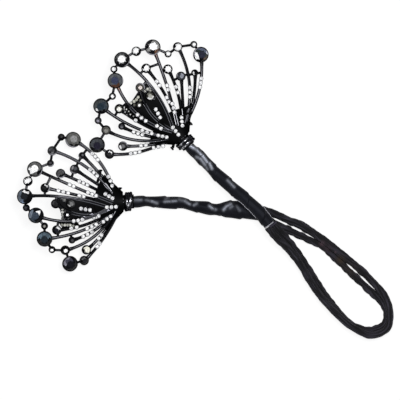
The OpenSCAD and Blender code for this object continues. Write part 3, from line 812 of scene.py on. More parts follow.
def stem(clay, row, drop, tip_reach, paint=0.0):
    path = stem_path(row, drop)
    to_tip = np.linalg.norm(path - path[-1], axis=1)
    radius = STEM_R * (1 + FLARE * np.exp(-np.maximum(to_tip - tip_reach, 0) ** 2 / FLARE_SOFT))
    tube(clay, path, radius, STEM_SIDES, paint)


def tarnish(row):
    """How far each point of a rim stem is tarnished by the stain round its cup."""
    path = stem_path(row, 0)
    gap = np.linalg.norm(path - path[-1], axis=1)
    return np.repeat(np.clip(TARNISH_EDGE - gap / TARNISH_REACH, 0, 1), STEM_SIDES)


def spot(row):
    return on_dome(row[0], row[1])


def nearest_on(row, point, drop):
    tries = stem_points(row, np.linspace(0.5, 1, LINK_TRIES), drop)
    return tries[np.argmin(np.linalg.norm(tries - point, axis=1))]


def link(clay, a, b):
    """A short link, a little thinner in its middle than at its ends."""
    t = np.linspace(0, 1, LINK_STEPS)
    radius = LINK_R * (LINK_FLARE - LINK_WAIST * np.sin(math.pi * t))
    tube(clay, a + t[:, None] * (b - a), radius, LINK_SIDES)


# %% Root, plate and web
def add_root(clay):
    a = full_turn(ROOT_SIDES)
    rings = []
    for out, half, share, back, thick in smooth_rows(ROOT_SECTIONS, ROOT_FINE):
        y = half * np.cos(a)
        x = out - back * np.cos(a) ** 2
        offset = np.where(a < math.pi, ROOT_TOP, -ROOT_BOTTOM) * thick * np.minimum(1, 2 * np.abs(np.sin(a)))
        z = share * (dome(x, y) + offset) + (1 - share) * (NECK_H + half * np.sin(a))
        rings.append(np.stack([x, y, z], axis=1))
    add_rings(clay, rings, AS_CAST)


PLATE_ACROSS = 9
PLATE_SECTIONS = 14
# Share of the plate's upper half left at its sides, and how steeply it grows from there
PLATE_SIDE = 0.4
PLATE_RISE = 6


def add_plate(clay, end):
    """A thin slab that follows the dome between two stems, with a bar across just beyond it."""
    rim = RIM[end]
    shares = np.linspace(PLATE_FROM, PLATE_TO, PLATE_SECTIONS)
    left, right = [stem_points(rim[k], shares) for k in PLATE_STEMS]
    u = np.linspace(0, 1, PLATE_ACROSS)
    rings = []
    for a, b in zip(left, right):
        middle = a[None] + u[:, None] * (b - a)[None]
        rounded = np.minimum(1, PLATE_SIDE + PLATE_RISE * np.minimum(u, 1 - u))
        top = middle[:, 2] - PLATE_DROP + PLATE_T / 2 * rounded
        bottom = middle[:, 2] - PLATE_DROP - PLATE_T / 2
        upper = np.stack([middle[:, 0], middle[:, 1], top], axis=1)
        lower = np.stack([middle[:, 0], middle[:, 1], bottom], axis=1)
        rings.append(np.vstack([upper, lower[::-1]]))
    add_rings(clay, rings, AS_CAST)
    link(clay, *[stem_points(rim[k], BAR_AT)[0] for k in PLATE_STEMS])


# A thin web fills the gap between one inner stem and the next rim stem. Columns: where it begins and ends
# on the inner stem, and where on the rim stem, as shares of their length
WEB = {"upper": (0.08, 0.9, 0.1, 0.74), "lower": (0.62, 0.9, 0.5, 0.74)}
WEB_T = 0.5
WEB_STEPS = 16
WEB_INNER = 2
WEB_RIM = 6


def add_web(clay, end):
    inner_from, inner_to, rim_from, rim_to = WEB[end]
    a = stem_points(INNER[end][WEB_INNER], np.linspace(inner_from, inner_to, WEB_STEPS), LAYER_DROP)
    b = stem_points(RIM[end][WEB_RIM], np.linspace(rim_from, rim_to, WEB_STEPS))
    half = np.array([0, 0, WEB_T / 2])
    add_rings(clay, np.stack([a + half, b + half, b - half, a - half], axis=1), AS_CAST)


# %% Fans, with a cup for every stone and seed
# Seeds seen from their side on the outermost stems. Columns: along, across, height
SIDE_SEEDS = {
    "upper": ((11.9, -14.4, 6.0), (9.6, -11.8, 5.6), (5.3, -7.9, 5.2), (2.1, 6.6, 5.0)),
    "lower": ((4.0, -6.4, 5.0), (13.5, -15.6, 6.6)),
}
SIDE_TILT = 70
STUB_R = 0.7
# Path of a side seed's stub. Columns: distance along, and sideways as a share of the place's own
STUB_PATH = ((1.6, -0.35), (0.4, -0.09), (0, 0))
# Cups that show no polish in the photo
DULL_CUPS = {
    "upper": (
        ("rim", 1), ("rim", 2), ("rim", 6), ("rim", 8), ("rim", 10), ("rim", 12), ("rim", 13), ("rim", 14),
        ("inner", 5), ("inner", 6),
    ),
    "lower": (("inner", 1), ("inner", 4), ("rim", 3), ("rim", 4), ("rim", 10), ("rim", 14)),
}


def make_fan(end):
    clay = new_clay()
    rim, inner = RIM[end], INNER[end]
    add_root(clay)
    add_plate(clay, end)
    add_web(clay, end)
    tube(clay, [(x, 0, NECK_H) for x in BUNDLE_AXIS], BUNDLE_OUTER_R, BUNDLE_SIDES)
    for k in range(0, len(rim), 2):
        reach = STONE_D[RIM_SIZE[k]] / 2 + CUP_GAP
        paint = tarnish(rim[k]) if k in TARNISHED[end] else 0.0
        stem(clay, rim[k], 0, reach, paint)
    for row, size in zip(inner, INNER_SIZE):
        stem(clay, row, LAYER_DROP, STONE_D[size] / 2 + CUP_GAP)
    for a, b in zip(rim, rim[1:]):
        link(clay, spot(a), spot(b))
    for links, stems, drop in ((INNER_LINKS, rim, 0), (NEIGHBOUR_LINKS, inner, LAYER_DROP)):
        for k, other in links:
            link(clay, spot(inner[k]), nearest_on(stems[other], spot(inner[k]), drop))
    for kind, number, size, carry, row in settings_of(end):
        paint = AS_CAST if kind == "plate" or (kind, number) in DULL_CUPS[end] else 0.0
        add_rings(clay, carry(lathe(cup_profile(size), CUP_SIDES[size]), row), paint)
    seed_cup = lathe(SEED_CUP, SEED_CUP_SIDES)
    for place in seed_places(end):
        add_rings(clay, on_stem(seed_cup, place, SEED_SEAT))
    for place, radius, _ in single_crystals(end):
        add_rings(clay, on_stem(radius / SEED_R * seed_cup, place, SEED_SEAT))
    for along, across, height_up in SIDE_SEEDS[end]:
        tilt = math.radians(SIDE_TILT) * (-1 if across > 0 else 1)
        place = np.array([along, across, height_up])
        add_rings(clay, leaned(seed_cup, (tilt, 0)) + place)
        stub = [place + [ahead, share * across, 0] for ahead, share in STUB_PATH]
        tube(clay, stub, STUB_R, LINK_SIDES, AS_CAST)
    return make_piece("fan_" + end, at_end(end, clay), plated, ("frame_" + end,))


for end in NECKS:
    make_fan(end)

# %% Ribs over the root and the plate
# Columns: which stem, and where its pair of ribs begins and ends as shares of its length
RIBBED = {
    "upper": (
        ("rim", 3, 0.02, 0.35), ("rim", 5, 0.02, 0.25), ("rim", 7, 0.04, 0.64), ("inner", 4, 0.04, 0.86),
        ("rim", 9, 0.04, 0.64), ("rim", 11, 0.05, 0.22), ("rim", 13, 0.05, 0.25), ("inner", 6, 0.05, 0.3),
    ),
    "lower": (
        ("rim", 3, 0.0, 0.15), ("rim", 5, 0.02, 0.2), ("rim", 7, 0.04, 0.5), ("inner", 4, 0.04, 0.86),
        ("rim", 9, 0.04, 0.64), ("rim", 11, 0.02, 0.2), ("rim", 13, 0.05, 0.2), ("inner", 6, 0.05, 0.2),
    ),
}
RIB_R = 0.2
RIB_STAND = 0.12
RIBS_APART = 1.1
RIB_STEPS = 30
# Height of the ribs' middle over a rim stem's, and over how many steps a rib's rise is evened out
RIM_RIB_H = 0.75 * STEM_R
RIB_EVEN = 5


def make_ribs(end):
    """Pairs of thin ribs along the stems, standing a little out of whatever covers each stem."""
    clay = new_clay()
    for kind, number, begin, finish in RIBBED[end]:
        row = STEMS[kind][end][number - 1]
        path = stem_points(row, np.linspace(begin, finish, RIB_STEPS))
        path[:, 2] += PLATE_T / 2 - PLATE_DROP if kind == "inner" else RIM_RIB_H
        path = np.array(over_root(path, 0))
        padded = np.pad(path[:, 2], RIB_EVEN // 2, mode="edge")
        path[:, 2] = np.convolve(padded, np.ones(RIB_EVEN) / RIB_EVEN, "valid")
        beside = RIBS_APART / 2 * left_of(headings(path))
        for side in (-1, 1):
            tube(clay, path + side * beside + [0, 0, RIB_STAND - RIB_R], RIB_R, RIB_SIDES)
    # The ribs take the lighter plating, which paints in their highlights
    return make_piece("ribs_" + end, at_end(end, clay), highlit_plating)


for end in NECKS:
    make_ribs(end)

# %% [markdown]
# ## Cut stones
# A crown is cut in three kinds of facet round a flat table: small triangles called stars, kite-shaped main
# facets and a row of halves along the edge. The stars' tips lie in the planes of the mains, which keeps
# every facet flat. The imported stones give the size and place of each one, and these are cut finer in
# the same form.

# %% The cut
# Where the stars' tips lie, from the table's edge (0) to the stone's (1)
STAR_SHARE = 0.42


def cut_stone(radius, table_share, girdle, crown, mains=8):
    """Points and facets of a stone that stands on z = 0, with each facet's place as seen from above."""
    step = 360 / mains
    table_r = table_share * radius
    slope = crown / (radius - table_r)
    star_r = table_r + STAR_SHARE * (radius - table_r)
    star_z = girdle + crown - (star_r * math.cos(math.radians(step / 2)) - table_r) * slope

    def ring(r, z, count, turn=0.0):
        a = np.radians(turn + np.arange(count) * 360 / count)
        return np.stack([r * np.cos(a), r * np.sin(a), np.full(count, z)], axis=1)

    levels = [
        ring(radius, 0, 2 * mains), ring(radius, girdle, 2 * mains), ring(star_r, star_z, mains, step / 2),
        ring(table_r, girdle + crown, mains),
    ]
    back, edge, star, table = np.cumsum([0, 2 * mains, 2 * mains, mains])
    around = range(2 * mains)
    facets = [[back + k for k in reversed(around)], [table + k for k in range(mains)]]
    ahead = [(k + 1) % (2 * mains) for k in around]
    facets += [[back + k, back + n, edge + n, edge + k] for k, n in zip(around, ahead)]
    for k in range(mains):
        after = (k + 1) % mains
        before = (k - 1) % mains
        middle = edge + 2 * k + 1
        facets.append([table + k, star + k, table + after])
        facets.append([table + k, star + before, edge + 2 * k, star + k])
        facets.append([star + k, edge + 2 * k, middle])
        facets.append([star + k, middle, edge + 2 * after])
    return np.vstack(levels), facets


def facet_places(points, facets, radius):
    """Direction in degrees and distance from the middle as a share of the radius, for each facet."""
    middles = np.array([points[facet].mean(axis=0) for facet in facets])
    x, y, _ = middles.T
    return np.degrees(np.arctan2(y, x)), np.hypot(x, y) / radius


def add_stone(clay, points, facets, colours):
    start = sum(len(block) for block in clay["points"])
    clay["points"].append(points)
    clay["faces"] += [[start + i for i in facet] for facet in facets]
    clay["paint"].append(np.zeros(len(points)))
    clay["uv"].append(np.zeros((len(points), 2)))
    clay["facet"] += colours


# %% [markdown]
# ## What each stone shows
# Each stone's facets carry its own tone together with painted reflections. A row names its table's colour
# and its crown's colour, and then accents: a colour, the direction it lies in as seen in the picture (0 is
# right, 90 is up), how wide it spreads to each side, and the part of the stone that it covers, from the
# middle (0) to the edge (1). White and pale colours are painted reflections of the lamps, and the dark
# rings round white tables are painted dark reflections.

# %% Table of stones
# White paints in the lamps' reflection; the darkest black is jet glass and also facets painted as dark
# reflections
REFLECTED_WHITE, DARK_FACET_BLACK, SMOKE, SLATE = "#ffffff", "#0c0c0f", "#4a4b50", "#39434c"
STONE_TONES_AND_REFLECTIONS = {
    "upper_rim_1": (DARK_FACET_BLACK, "#1c1c20", (REFLECTED_WHITE, 60, 60, 0.3, 0.8)),
    "upper_rim_2": ("#24222f", "#34363b", (DARK_FACET_BLACK, 270, 70, 0.6, 1), ("#46484c", 110, 80, 0.6, 1)),
    "upper_rim_3": ("#85837e", "#5d5c58"),
    "upper_rim_4": ("#8b8894", SMOKE),
    "upper_rim_5": (
        "#26323b", "#414648", (SLATE, 20, 60, 0.5, 0.8), (REFLECTED_WHITE, 232, 24, 0.6, 1), (DARK_FACET_BLACK, 275, 40, 0.7, 1),
    ),
    "upper_rim_6": (REFLECTED_WHITE, "#d6d6d6", (DARK_FACET_BLACK, 0, 180, 0.88, 1), (DARK_FACET_BLACK, 210, 40, 0.7, 1)),
    "upper_rim_7": ("#393e55", "#55585b", ("#44474f", 90, 180, 0.5, 0.6), ("#4e3428", 270, 45, 0.7, 1)),
    "upper_rim_8": (REFLECTED_WHITE, "#e6e6e6", (DARK_FACET_BLACK, 0, 180, 0.88, 1)),
    "upper_rim_9": (
        REFLECTED_WHITE, "#1c1d1f", ("#a6a6a6", 0, 180, 0.1, 0.6), ("#3b3d40", 120, 50, 0.7, 1),
        (DARK_FACET_BLACK, 270, 80, 0.7, 1),
    ),
    "upper_rim_10": (REFLECTED_WHITE, "#f0f0f0", (DARK_FACET_BLACK, 330, 110, 0.85, 1), (DARK_FACET_BLACK, 320, 40, 0.7, 1)),
    "upper_rim_11": (
        REFLECTED_WHITE, "#8f8e8c", (DARK_FACET_BLACK, 150, 50, 0.6, 1), (DARK_FACET_BLACK, 262, 32, 0.5, 1), (REFLECTED_WHITE, 20, 70, 0.4, 0.7),
        ("#5e4434", 318, 28, 0.6, 1),
    ),
    "upper_rim_12": (REFLECTED_WHITE, "#f4f4f4", (DARK_FACET_BLACK, 250, 80, 0.85, 1)),
    "upper_rim_13": (REFLECTED_WHITE, REFLECTED_WHITE, (DARK_FACET_BLACK, 130, 70, 0.85, 1), (DARK_FACET_BLACK, 165, 25, 0.7, 1)),
    "upper_rim_14": (REFLECTED_WHITE, "#d0d0d0", (DARK_FACET_BLACK, 120, 120, 0.88, 1)),
    "upper_rim_15": (
        "#2c2d3b", "#2b3231", (REFLECTED_WHITE, 200, 42, 0.4, 0.9), ("#dfe0f0", 0, 40, 0.8, 1),
        ("#5b6275", 80, 50, 0.6, 1), ("#54443a", 320, 22, 0.6, 1), (DARK_FACET_BLACK, 265, 35, 0.5, 1),
    ),
    "upper_inner_1": ("#6a6a6c", "#38383a", (REFLECTED_WHITE, 205, 35, 0.5, 1), (DARK_FACET_BLACK, 300, 30, 0.6, 1)),
    "upper_inner_2": ("#6d6d72", "#2f2f34"),
    "upper_inner_3": ("#f4f4ec", "#5c5b54", ("#f4f4ec", 0, 180, 0, 0.62), (DARK_FACET_BLACK, 0, 180, 0.85, 1)),
    "upper_inner_4": ("#cbbfb9", "#4a4841"),
    "upper_inner_5": (REFLECTED_WHITE, REFLECTED_WHITE, (DARK_FACET_BLACK, 0, 130, 0.88, 1), (DARK_FACET_BLACK, 140, 50, 0.7, 1)),
    "upper_inner_6": (REFLECTED_WHITE, DARK_FACET_BLACK, (REFLECTED_WHITE, 0, 180, 0, 0.75)),
    "upper_inner_7": ("#8c8f99", "#3a3c42", ("#8c8f99", 60, 60, 0.4, 0.8)),
    "upper_inner_8": (DARK_FACET_BLACK, DARK_FACET_BLACK, (REFLECTED_WHITE, 190, 50, 0.4, 0.9)),
    "upper_plate_1": ("#a9a9a2", "#2e2d28", ("#f6f6f2", 285, 78, 0.1, 1), ("#77776e", 120, 40, 0.5, 1)),
    "upper_plate_2": (REFLECTED_WHITE, "#5a5a54"),
    "lower_rim_1": ("#26262a", DARK_FACET_BLACK, ("#5f5f60", 120, 40, 0.6, 1)),
    "lower_rim_2": ("#16161b", DARK_FACET_BLACK, ("#77757f", 140, 48, 0.6, 1), ("#3f3e4a", 110, 60, 0.4, 0.8)),
    "lower_rim_3": (REFLECTED_WHITE, DARK_FACET_BLACK),
    "lower_rim_4": (REFLECTED_WHITE, DARK_FACET_BLACK, (REFLECTED_WHITE, 200, 60, 0.5, 0.8)),
    "lower_rim_5": ("#232b31", DARK_FACET_BLACK, ("#566671", 95, 85, 0.45, 1), ("#3d4a54", 95, 60, 0.2, 0.6)),
    "lower_rim_6": ("#8f8d88", DARK_FACET_BLACK),
    "lower_rim_7": (
        "#39424e", DARK_FACET_BLACK, (REFLECTED_WHITE, 50, 40, 0.35, 0.8), ("#6f7986", 170, 50, 0.5, 1),
        ("#2a3440", 230, 30, 0.5, 1),
    ),
    "lower_rim_8": ("#3b3b40", "#1a1a1d"),
    "lower_rim_9": (
        "#1f2226", DARK_FACET_BLACK, (REFLECTED_WHITE, 70, 32, 0.35, 0.85), ("#73829a", 225, 40, 0.4, 0.9),
        ("#59626d", 180, 60, 0.5, 1),
    ),
    "lower_rim_10": (REFLECTED_WHITE, REFLECTED_WHITE, (DARK_FACET_BLACK, 300, 60, 0.7, 1), ("#5a5a58", 120, 30, 0.7, 1)),
    "lower_rim_11": (REFLECTED_WHITE, "#5a5a5a", (REFLECTED_WHITE, 220, 48, 0.3, 0.8), (DARK_FACET_BLACK, 320, 30, 0.7, 1)),
    "lower_rim_12": ("#3c3a3e", "#1d1d20"),
    "lower_rim_13": ("#2d2d30", "#19191b", ("#6f6f72", 270, 30, 0.5, 1), ("#4a4a50", 150, 40, 0.5, 1)),
    "lower_rim_14": ("#151517", DARK_FACET_BLACK),
    "lower_rim_15": ("#8c8c8c", "#5b5b59", (DARK_FACET_BLACK, 280, 60, 0.85, 1)),
    "lower_inner_1": ("#fbf8ea", "#f2efdf", (DARK_FACET_BLACK, 185, 30, 0.6, 1), (SMOKE, 260, 40, 0.7, 1)),
    "lower_inner_2": ("#4b4b4e", "#1f1f22"),
    "lower_inner_3": ("#1f1f27", DARK_FACET_BLACK, (REFLECTED_WHITE, 55, 40, 0.4, 0.9)),
    "lower_inner_4": ("#121215", "#0c0c0f", ("#3a3a3c", 150, 40, 0.5, 1)),
    "lower_inner_5": ("#1a1a1d", DARK_FACET_BLACK, (REFLECTED_WHITE, 60, 45, 0.35, 0.85)),
    "lower_inner_6": ("#121214", "#57575a", (DARK_FACET_BLACK, 300, 60, 0.5, 1)),
    "lower_inner_7": ("#4b4c50", "#222225", ("#8d8d90", 150, 35, 0.5, 1)),
    "lower_inner_8": ("#5a5a5e", DARK_FACET_BLACK),
    "lower_plate_1": ("#3f3f40", "#2a2a2b", ("#c4c4c2", 215, 24, 0.6, 1), ("#4b4b4b", 60, 80, 0.5, 1)),
    "lower_plate_2": (REFLECTED_WHITE, DARK_FACET_BLACK),
}
print("stones with a look of their own", len(STONE_TONES_AND_REFLECTIONS))

# %% A colour for each facet
FACET_SPREAD = 0.3
# Facets this near the middle, as a share of the radius, are the table
TABLE_REACH = 0.05


def toned(tone, change):
    return [min(c * change, 1) for c in linear(tone)[:3]] + [1.0]


def facet_tones_and_reflections(look, points, facets, radius, turn, rng):
    """One colour a facet, its stone's tone with a painted reflection: the table's, the crown's or an
    accent's, each a little lighter or darker.
    """
    table, crown, *accents = look
    directions, shares = facet_places(points, facets, radius)
    colours = []
    for direction, share in zip(directions + turn, shares):
        tone = table if share < TABLE_REACH else crown
        for accent, towards, spread, inner, outer in accents:
            off = abs((direction - towards + 180) % 360 - 180)
            if off <= spread and inner <= share <= outer:
                tone = accent
        change = 1 if share < TABLE_REACH else 1 + FACET_SPREAD * rng.uniform(-1, 1)
        colours.append(toned(tone, change))
    return colours


# %% Stones of both fans
def stone_mesh(name, members, stands_for, end):
    clay = new_clay()
    turn = NECKS[end][1]
    for look_name, size, carry, row in members:
        radius = STONE_R[size]
        points, facets = cut_stone(radius, TABLE_SHARE, GIRDLE_T[size], CROWN_T[size])
        rng = np.random.default_rng(list(look_name.encode()))
        colours = facet_tones_and_reflections(STONE_TONES_AND_REFLECTIONS[look_name], points, facets, radius, turn, rng)
        seat = np.array([0, 0, CUP_BASE[size] / 2 + STONE_GAP])
        add_stone(clay, carry(points + seat, row), facets, colours)
    return make_piece(name, at_end(end, clay), foiled_glass, stands_for, crease=FACET_CREASE)


for end in NECKS:
    small = []
    for kind, number, size, carry, row in settings_of(end):
        look_name = f"{end}_{kind}_{number}"
        member = (look_name, size, carry, row)
        if kind == "plate" or size == SMALL:
            small.append(member)
        else:
            stone_mesh("crystal_" + look_name, [member], ("stone_" + look_name,), end)
    stone_mesh("small_crystals_" + end, small, ("small_stones_" + end,), end)

# %% [markdown]
# ## Seed stones
# The white seeds are clear glass on silver foil, 2 mm across, set with the table up. Their white and grey
# facets are painted reflections. They are many small things, so they are joined into one mesh for each
# fan. Some facets are a light grey, which makes each seed look round.

# %% Seed stones
SEED_REFLECTION_GREYS = ("#ffffff", "#ffffff", "#f2f2f2", "#cfcfd2")
SEED_BASE = 0.35
# Radius, share of the table, girdle, crown and number of main facets
SEED_CUT = (0.95 * SEED_R, 0.5, 0.3, 0.5, 6)
# Where each fan's random draws begin
GREY_DRAW = {"upper": 6, "lower": 5}


def make_seeds(end):
    clay = new_clay()
    points, facets = cut_stone(*SEED_CUT)
    rng = np.random.default_rng(GREY_DRAW[end])
    for place in seed_places(end):
        # Each seed's facets are painted reflections, white or light grey at random
        greys = rng.choice(len(SEED_REFLECTION_GREYS), len(facets))
        colours = [linear(SEED_REFLECTION_GREYS[k]) for k in greys]
        add_stone(clay, on_stem(points, place, SEED_SEAT + SEED_BASE), facets, colours)
    for place, radius, tone in single_crystals(end):
        changes = 1 + FACET_SPREAD * rng.uniform(-1, 1, len(facets))
        colours = [toned(tone, change) for change in changes]
        add_stone(clay, on_stem(radius / SEED_R * points, place, SEED_SEAT + SEED_BASE), facets, colours)
    return make_piece("seeds_" + end, at_end(end, clay), foiled_glass, crease=FACET_CREASE)


for end in NECKS:
    make_seeds(end)

# %% [markdown]
# ## Wire binding at the necks
# A thick black wire is wound three times round each neck and crosses over its own turns once. A helix
# gives the turns, and one tilted ring on top gives the crossing.

# %% Coils
COIL_WIRE = 1.5
COIL_TURNS = 3
COIL_PITCH = 1.6
COIL_L = COIL_TURNS * COIL_PITCH
SLEEVE_R = 3.5
SLEEVE_LIP = 0.35
SLEEVE_SIDES = 32
WIRE_SIDES = 14
STEPS_A_TURN = 40
# Places where the enamel has worn to bright steel, seen from above, set on the tops of the turns as painted
# highlights. Columns: where one begins and ends
WORN_WIRE_HIGHLIGHTS = {
    "upper": (
        (-9.0, 22.2, -7.8, 23.6), (-11.2, 20.4, -9.9, 21.4), (-9.6, 24.6, -9.1, 25.2),
        (-12.0, 22.8, -10.6, 24.4), (-12.9, 21.6, -11.6, 22.9),
    ),
    "lower": (
        (-40.4, -4.9, -39.4, -6.2), (-38.9, -6.6, -38.5, -8.6), (-38.0, -8.0, -37.3, -6.1),
        (-37.2, -4.6, -36.8, -6.0),
    ),
}
WORN_R = 0.45
# Where the first turn begins, in radians
COIL_START = 0.6
# Share by which the wire's ends tuck in, and over how much of a turn
TUCK = 0.22
TUCK_TURNS = 0.12
# The crossing wire: its radius, how far its ring is lifted, how much lower than wide it is, how far it
# swings along the neck to each side, and where round the neck it does so, in radians
CROSS_WIRE_R = 0.65
CROSS_LIFT = 0.25
CROSS_FLATTER = 0.02
CROSS_SWING = 1.5
CROSS_TURN = 0.5
CROSS_SIDES = 12
CROSS_STEPS = 60


def ring_wire(clay, path, radius, sides, end):
    """A wire round the neck's axis, with its section kept square to that axis."""
    ahead = headings(path)
    axis = np.array([1.0, 0, 0])
    side = unit(axis - (ahead @ axis)[:, None] * ahead)
    rings = path[:, None] + radius * spokes(side, np.cross(ahead, side), sides)
    bare_steel_highlight = np.zeros(rings.shape[:2])
    for x1, y1, x2, y2 in WORN_WIRE_HIGHLIGHTS[end]:
        spot_from, spot_to = (to_fan(end, place) for place in ((x1, y1), (x2, y2)))
        gap = near_segment(rings, *spot_from, *spot_to)
        # Bare steel only on the upper sides of the turns, wear that paints in a highlight
        bare_steel_highlight = np.maximum(bare_steel_highlight, np.exp(-(gap / WORN_R) ** 4) * (rings[..., 2] > NECK_H + 1))
    add_rings(clay, rings, bare_steel_highlight)


def make_coil(end):
    clay = new_clay()
    turn_r = NECK_H - COIL_WIRE / 2
    t = np.linspace(0, COIL_TURNS, STEPS_A_TURN * COIL_TURNS + 1)
    tuck = 1 - TUCK * (np.exp(-(t / TUCK_TURNS) ** 2) + np.exp(-((COIL_TURNS - t) / TUCK_TURNS) ** 2))
    turning = 2 * math.pi * t + COIL_START
    x = -COIL_L / 2 + COIL_PITCH * (0.5 + (COIL_TURNS - 1) * t / COIL_TURNS)
    helix = np.stack([x, turn_r * tuck * np.cos(turning), NECK_H + turn_r * tuck * np.sin(turning)], axis=1)
    ring_wire(clay, helix, COIL_WIRE / 2, WIRE_SIDES, end)
    s = np.linspace(0, 2 * math.pi, CROSS_STEPS)
    cross_r = turn_r + CROSS_LIFT
    cross_z = NECK_H + CROSS_LIFT + (cross_r - CROSS_FLATTER) * np.sin(s)
    crossing = np.stack([CROSS_SWING * np.cos(s + CROSS_TURN), cross_r * np.cos(s), cross_z], axis=1)
    ring_wire(clay, crossing, CROSS_WIRE_R, CROSS_SIDES, end)
    sleeve = [(-COIL_L / 2 - SLEEVE_LIP, 0, NECK_H), (0, 0, NECK_H), (COIL_L / 2, 0, NECK_H)]
    tube(clay, sleeve, SLEEVE_R, SLEEVE_SIDES, AS_CAST)
    return make_piece("binding_" + end, at_end(end, clay), enamelled, ("coil_" + end,))


for end in NECKS:
    make_coil(end)

# %% [markdown]
# ## Ribbon-wrapped ends
# From each neck to the crossing, the band is wound with satin ribbon. Each turn laps over the one before
# with a soft edge that runs round in a spiral, and the ribbon is pulled into small folds along the band.
# The rings follow the same table as the solids, at a finer step.

# %% Ribbon wraps
WRAP_T = 5.8
RIBBON_PITCH = 11
RIBBON_RIDGE = 0.13
# Shares of a turn over which its edge rises and falls, and how late it rises
LAP_RISE = 0.93
LAP_FALL = 0.07
LAP_CURVE = 1.6
WRAP_SEAT = COIL_L / 2 + 0.4
WRAP_START_L = 3
WRAP_START_W = 5.4

# Columns: place, height of the centre and width seen from above
WRAPS = {
    "upper": (
        (-3.2, 17.0, 5.2, 6.2), (0.0, 13.5, 5.6, 6.0), (4.0, 9.5, 6.2, 5.8), (8.0, 5.5, 6.9, 6.4),
        (11.5, 2.5, 7.6, 6.4), (15.0, -0.5, 8.3, 6.2), (18.5, -3.5, 8.8, 6.2), (22.0, -6.5, 9.1, 6.2),
        (25.5, -10.0, 9.2, 6.4), (29.0, -13.5, 9.0, 6.5), (32.3, -18.0, 8.6, 6.2),
    ),
    "lower": (
        (-28.5, -6.1, 3.7, 5.0), (-23.0, -6.6, 2.9, 6.1), (-17.0, -6.7, 2.8, 6.2), (-12.0, -6.8, 2.7, 5.6),
        (-7.0, -8.2, 2.5, 5.1), (0.0, -9.4, 2.8, 6.4), (5.5, -10.1, 2.8, 5.8), (10.5, -10.2, 2.8, 7.8),
        (14.5, -10.3, 2.8, 8.9), (21.0, -11.0, 2.8, 8.4), (27.0, -12.0, 2.7, 7.4),
    ),
}
# Flat folds that catch the light and carry a painted highlight. Columns: where one begins and where it ends,
# and how strong it is
BRIGHT_FOLDS = {
    "upper": (
        (-7.3, 21.6, -4.2, 19.6, 1.0), (-4.2, 19.6, -1.0, 16.4, 0.8), (-1.0, 16.4, 1.0, 13.6, 1.0),
        (-4.3, 16.0, -2.2, 15.0, 0.6), (-2.2, 15.0, 0.0, 12.0, 0.7), (2.3, 12.9, 3.4, 10.2, 0.9),
        (0.6, 11.0, 1.2, 9.8, 0.4), (11.3, 4.4, 14.6, 1.0, 0.5),
    ),
    "lower": (
        (-36.0, -5.6, -31.8, -5.4, 0.35), (-29.5, -5.5, -26.6, -6.2, 0.3), (-26.6, -6.2, -24.0, -7.2, 0.5),
        (-20.2, -6.4, -14.5, -5.9, 0.45), (-19.8, -5.2, -18.6, -4.4, 0.25), (-13.0, -5.2, -10.2, -5.8, 0.3),
        (-10.2, -5.8, -7.6, -7.6, 0.45), (-5.4, -8.0, -4.2, -7.3, 0.5), (2.2, -8.4, 3.6, -9.6, 0.6),
        (3.6, -9.6, 5.4, -10.3, 0.35), (9.3, -10.4, 10.6, -8.6, 0.6), (10.6, -8.6, 12.9, -7.4, 0.55),
        (12.6, -9.4, 13.6, -8.6, 0.3), (15.8, -8.6, 17.4, -10.8, 0.2),
    ),
}
FOLD_HALF = 0.85
FOLD_HIGHLIGHT_REACH = 0.7
RING_STEP = 0.3
AROUND = 72
# Where each wrap's random draws begin
FOLD_DRAW = {"upper": 12, "lower": 8}
# How many folds there are, their length in mm and how wide each is in radians
SOFT_FOLDS = (9, 22, 0.42)
CRISP_OUT = (14, 12, 0.13)
CRISP_IN = (10, 12, 0.13)
# How much a fold's length differs from that, as a share, and how far it turns round the band a mm
LENGTH_RANGE = (0.7, 1.6)
DRIFT_RANGE = (-0.05, 0.12)
# Height of the folds as a share of the half width
SOFT_SHARE = 0.028
CRISP_SHARE = 0.014
# Columns: place on the band's outline, how far the lump reaches and how far it stands out
RIBBON_LUMPS = {
    "upper": ((14.7, -4.6, 2.2, 0.5),),
    "lower": (
        (-34.5, -10.0, 3.5, 0.6), (-13.0, -9.9, 2.0, 0.3), (2.8, -12.9, 2.5, 0.4), (9.8, -14.0, 2.5, 0.5),
    ),
}
print("bright folds", {end: len(BRIGHT_FOLDS[end]) for end in WRAPS})

# %% Folds and lumps of the ribbon
def folds(run, a, count, wave, sharp, rng):
    """Creases along the band: each goes round slowly, deeper in some places than in others."""
    total = np.zeros((len(run), len(a)))
    for _ in range(count):
        length = wave * rng.uniform(*LENGTH_RANGE)
        place = rng.uniform(0, 2 * math.pi)
        drift = rng.uniform(*DRIFT_RANGE)
        strength = 0.5 + 0.5 * np.sin(2 * math.pi * run / length + rng.uniform(0, 2 * math.pi))
        gap = np.angle(np.exp(1j * (a[None] - place - drift * run[:, None])))
        total += strength[:, None] * np.exp(-(gap / sharp) ** 2)
    return total


def dents(run, a, out, back, rng):
    """Folds that stand out, less folds that lie in."""
    return folds(run, a, *out, rng) - folds(run, a, *back, rng)


def ring_uv(run, a, thick):
    """For each point of the rings, the length run up to it and the way round to it."""
    return np.stack(np.broadcast_arrays(run[:, None], a[None] * thick / 2), axis=-1)


def push_out(points, lumps, side_share=1.0):
    """Swells rings outwards, seen from above, near each place of a table. side_share picks the sides."""
    away = points[..., :2] - points[..., :2].mean(axis=1, keepdims=True)
    outward = away / np.maximum(np.linalg.norm(away, axis=-1, keepdims=True), 0.5)
    moved = points.copy()
    for x, y, reach, rise in lumps:
        moved[..., :2] += (rise * nearness(points, x, y, reach) * side_share)[..., None] * outward
    return moved


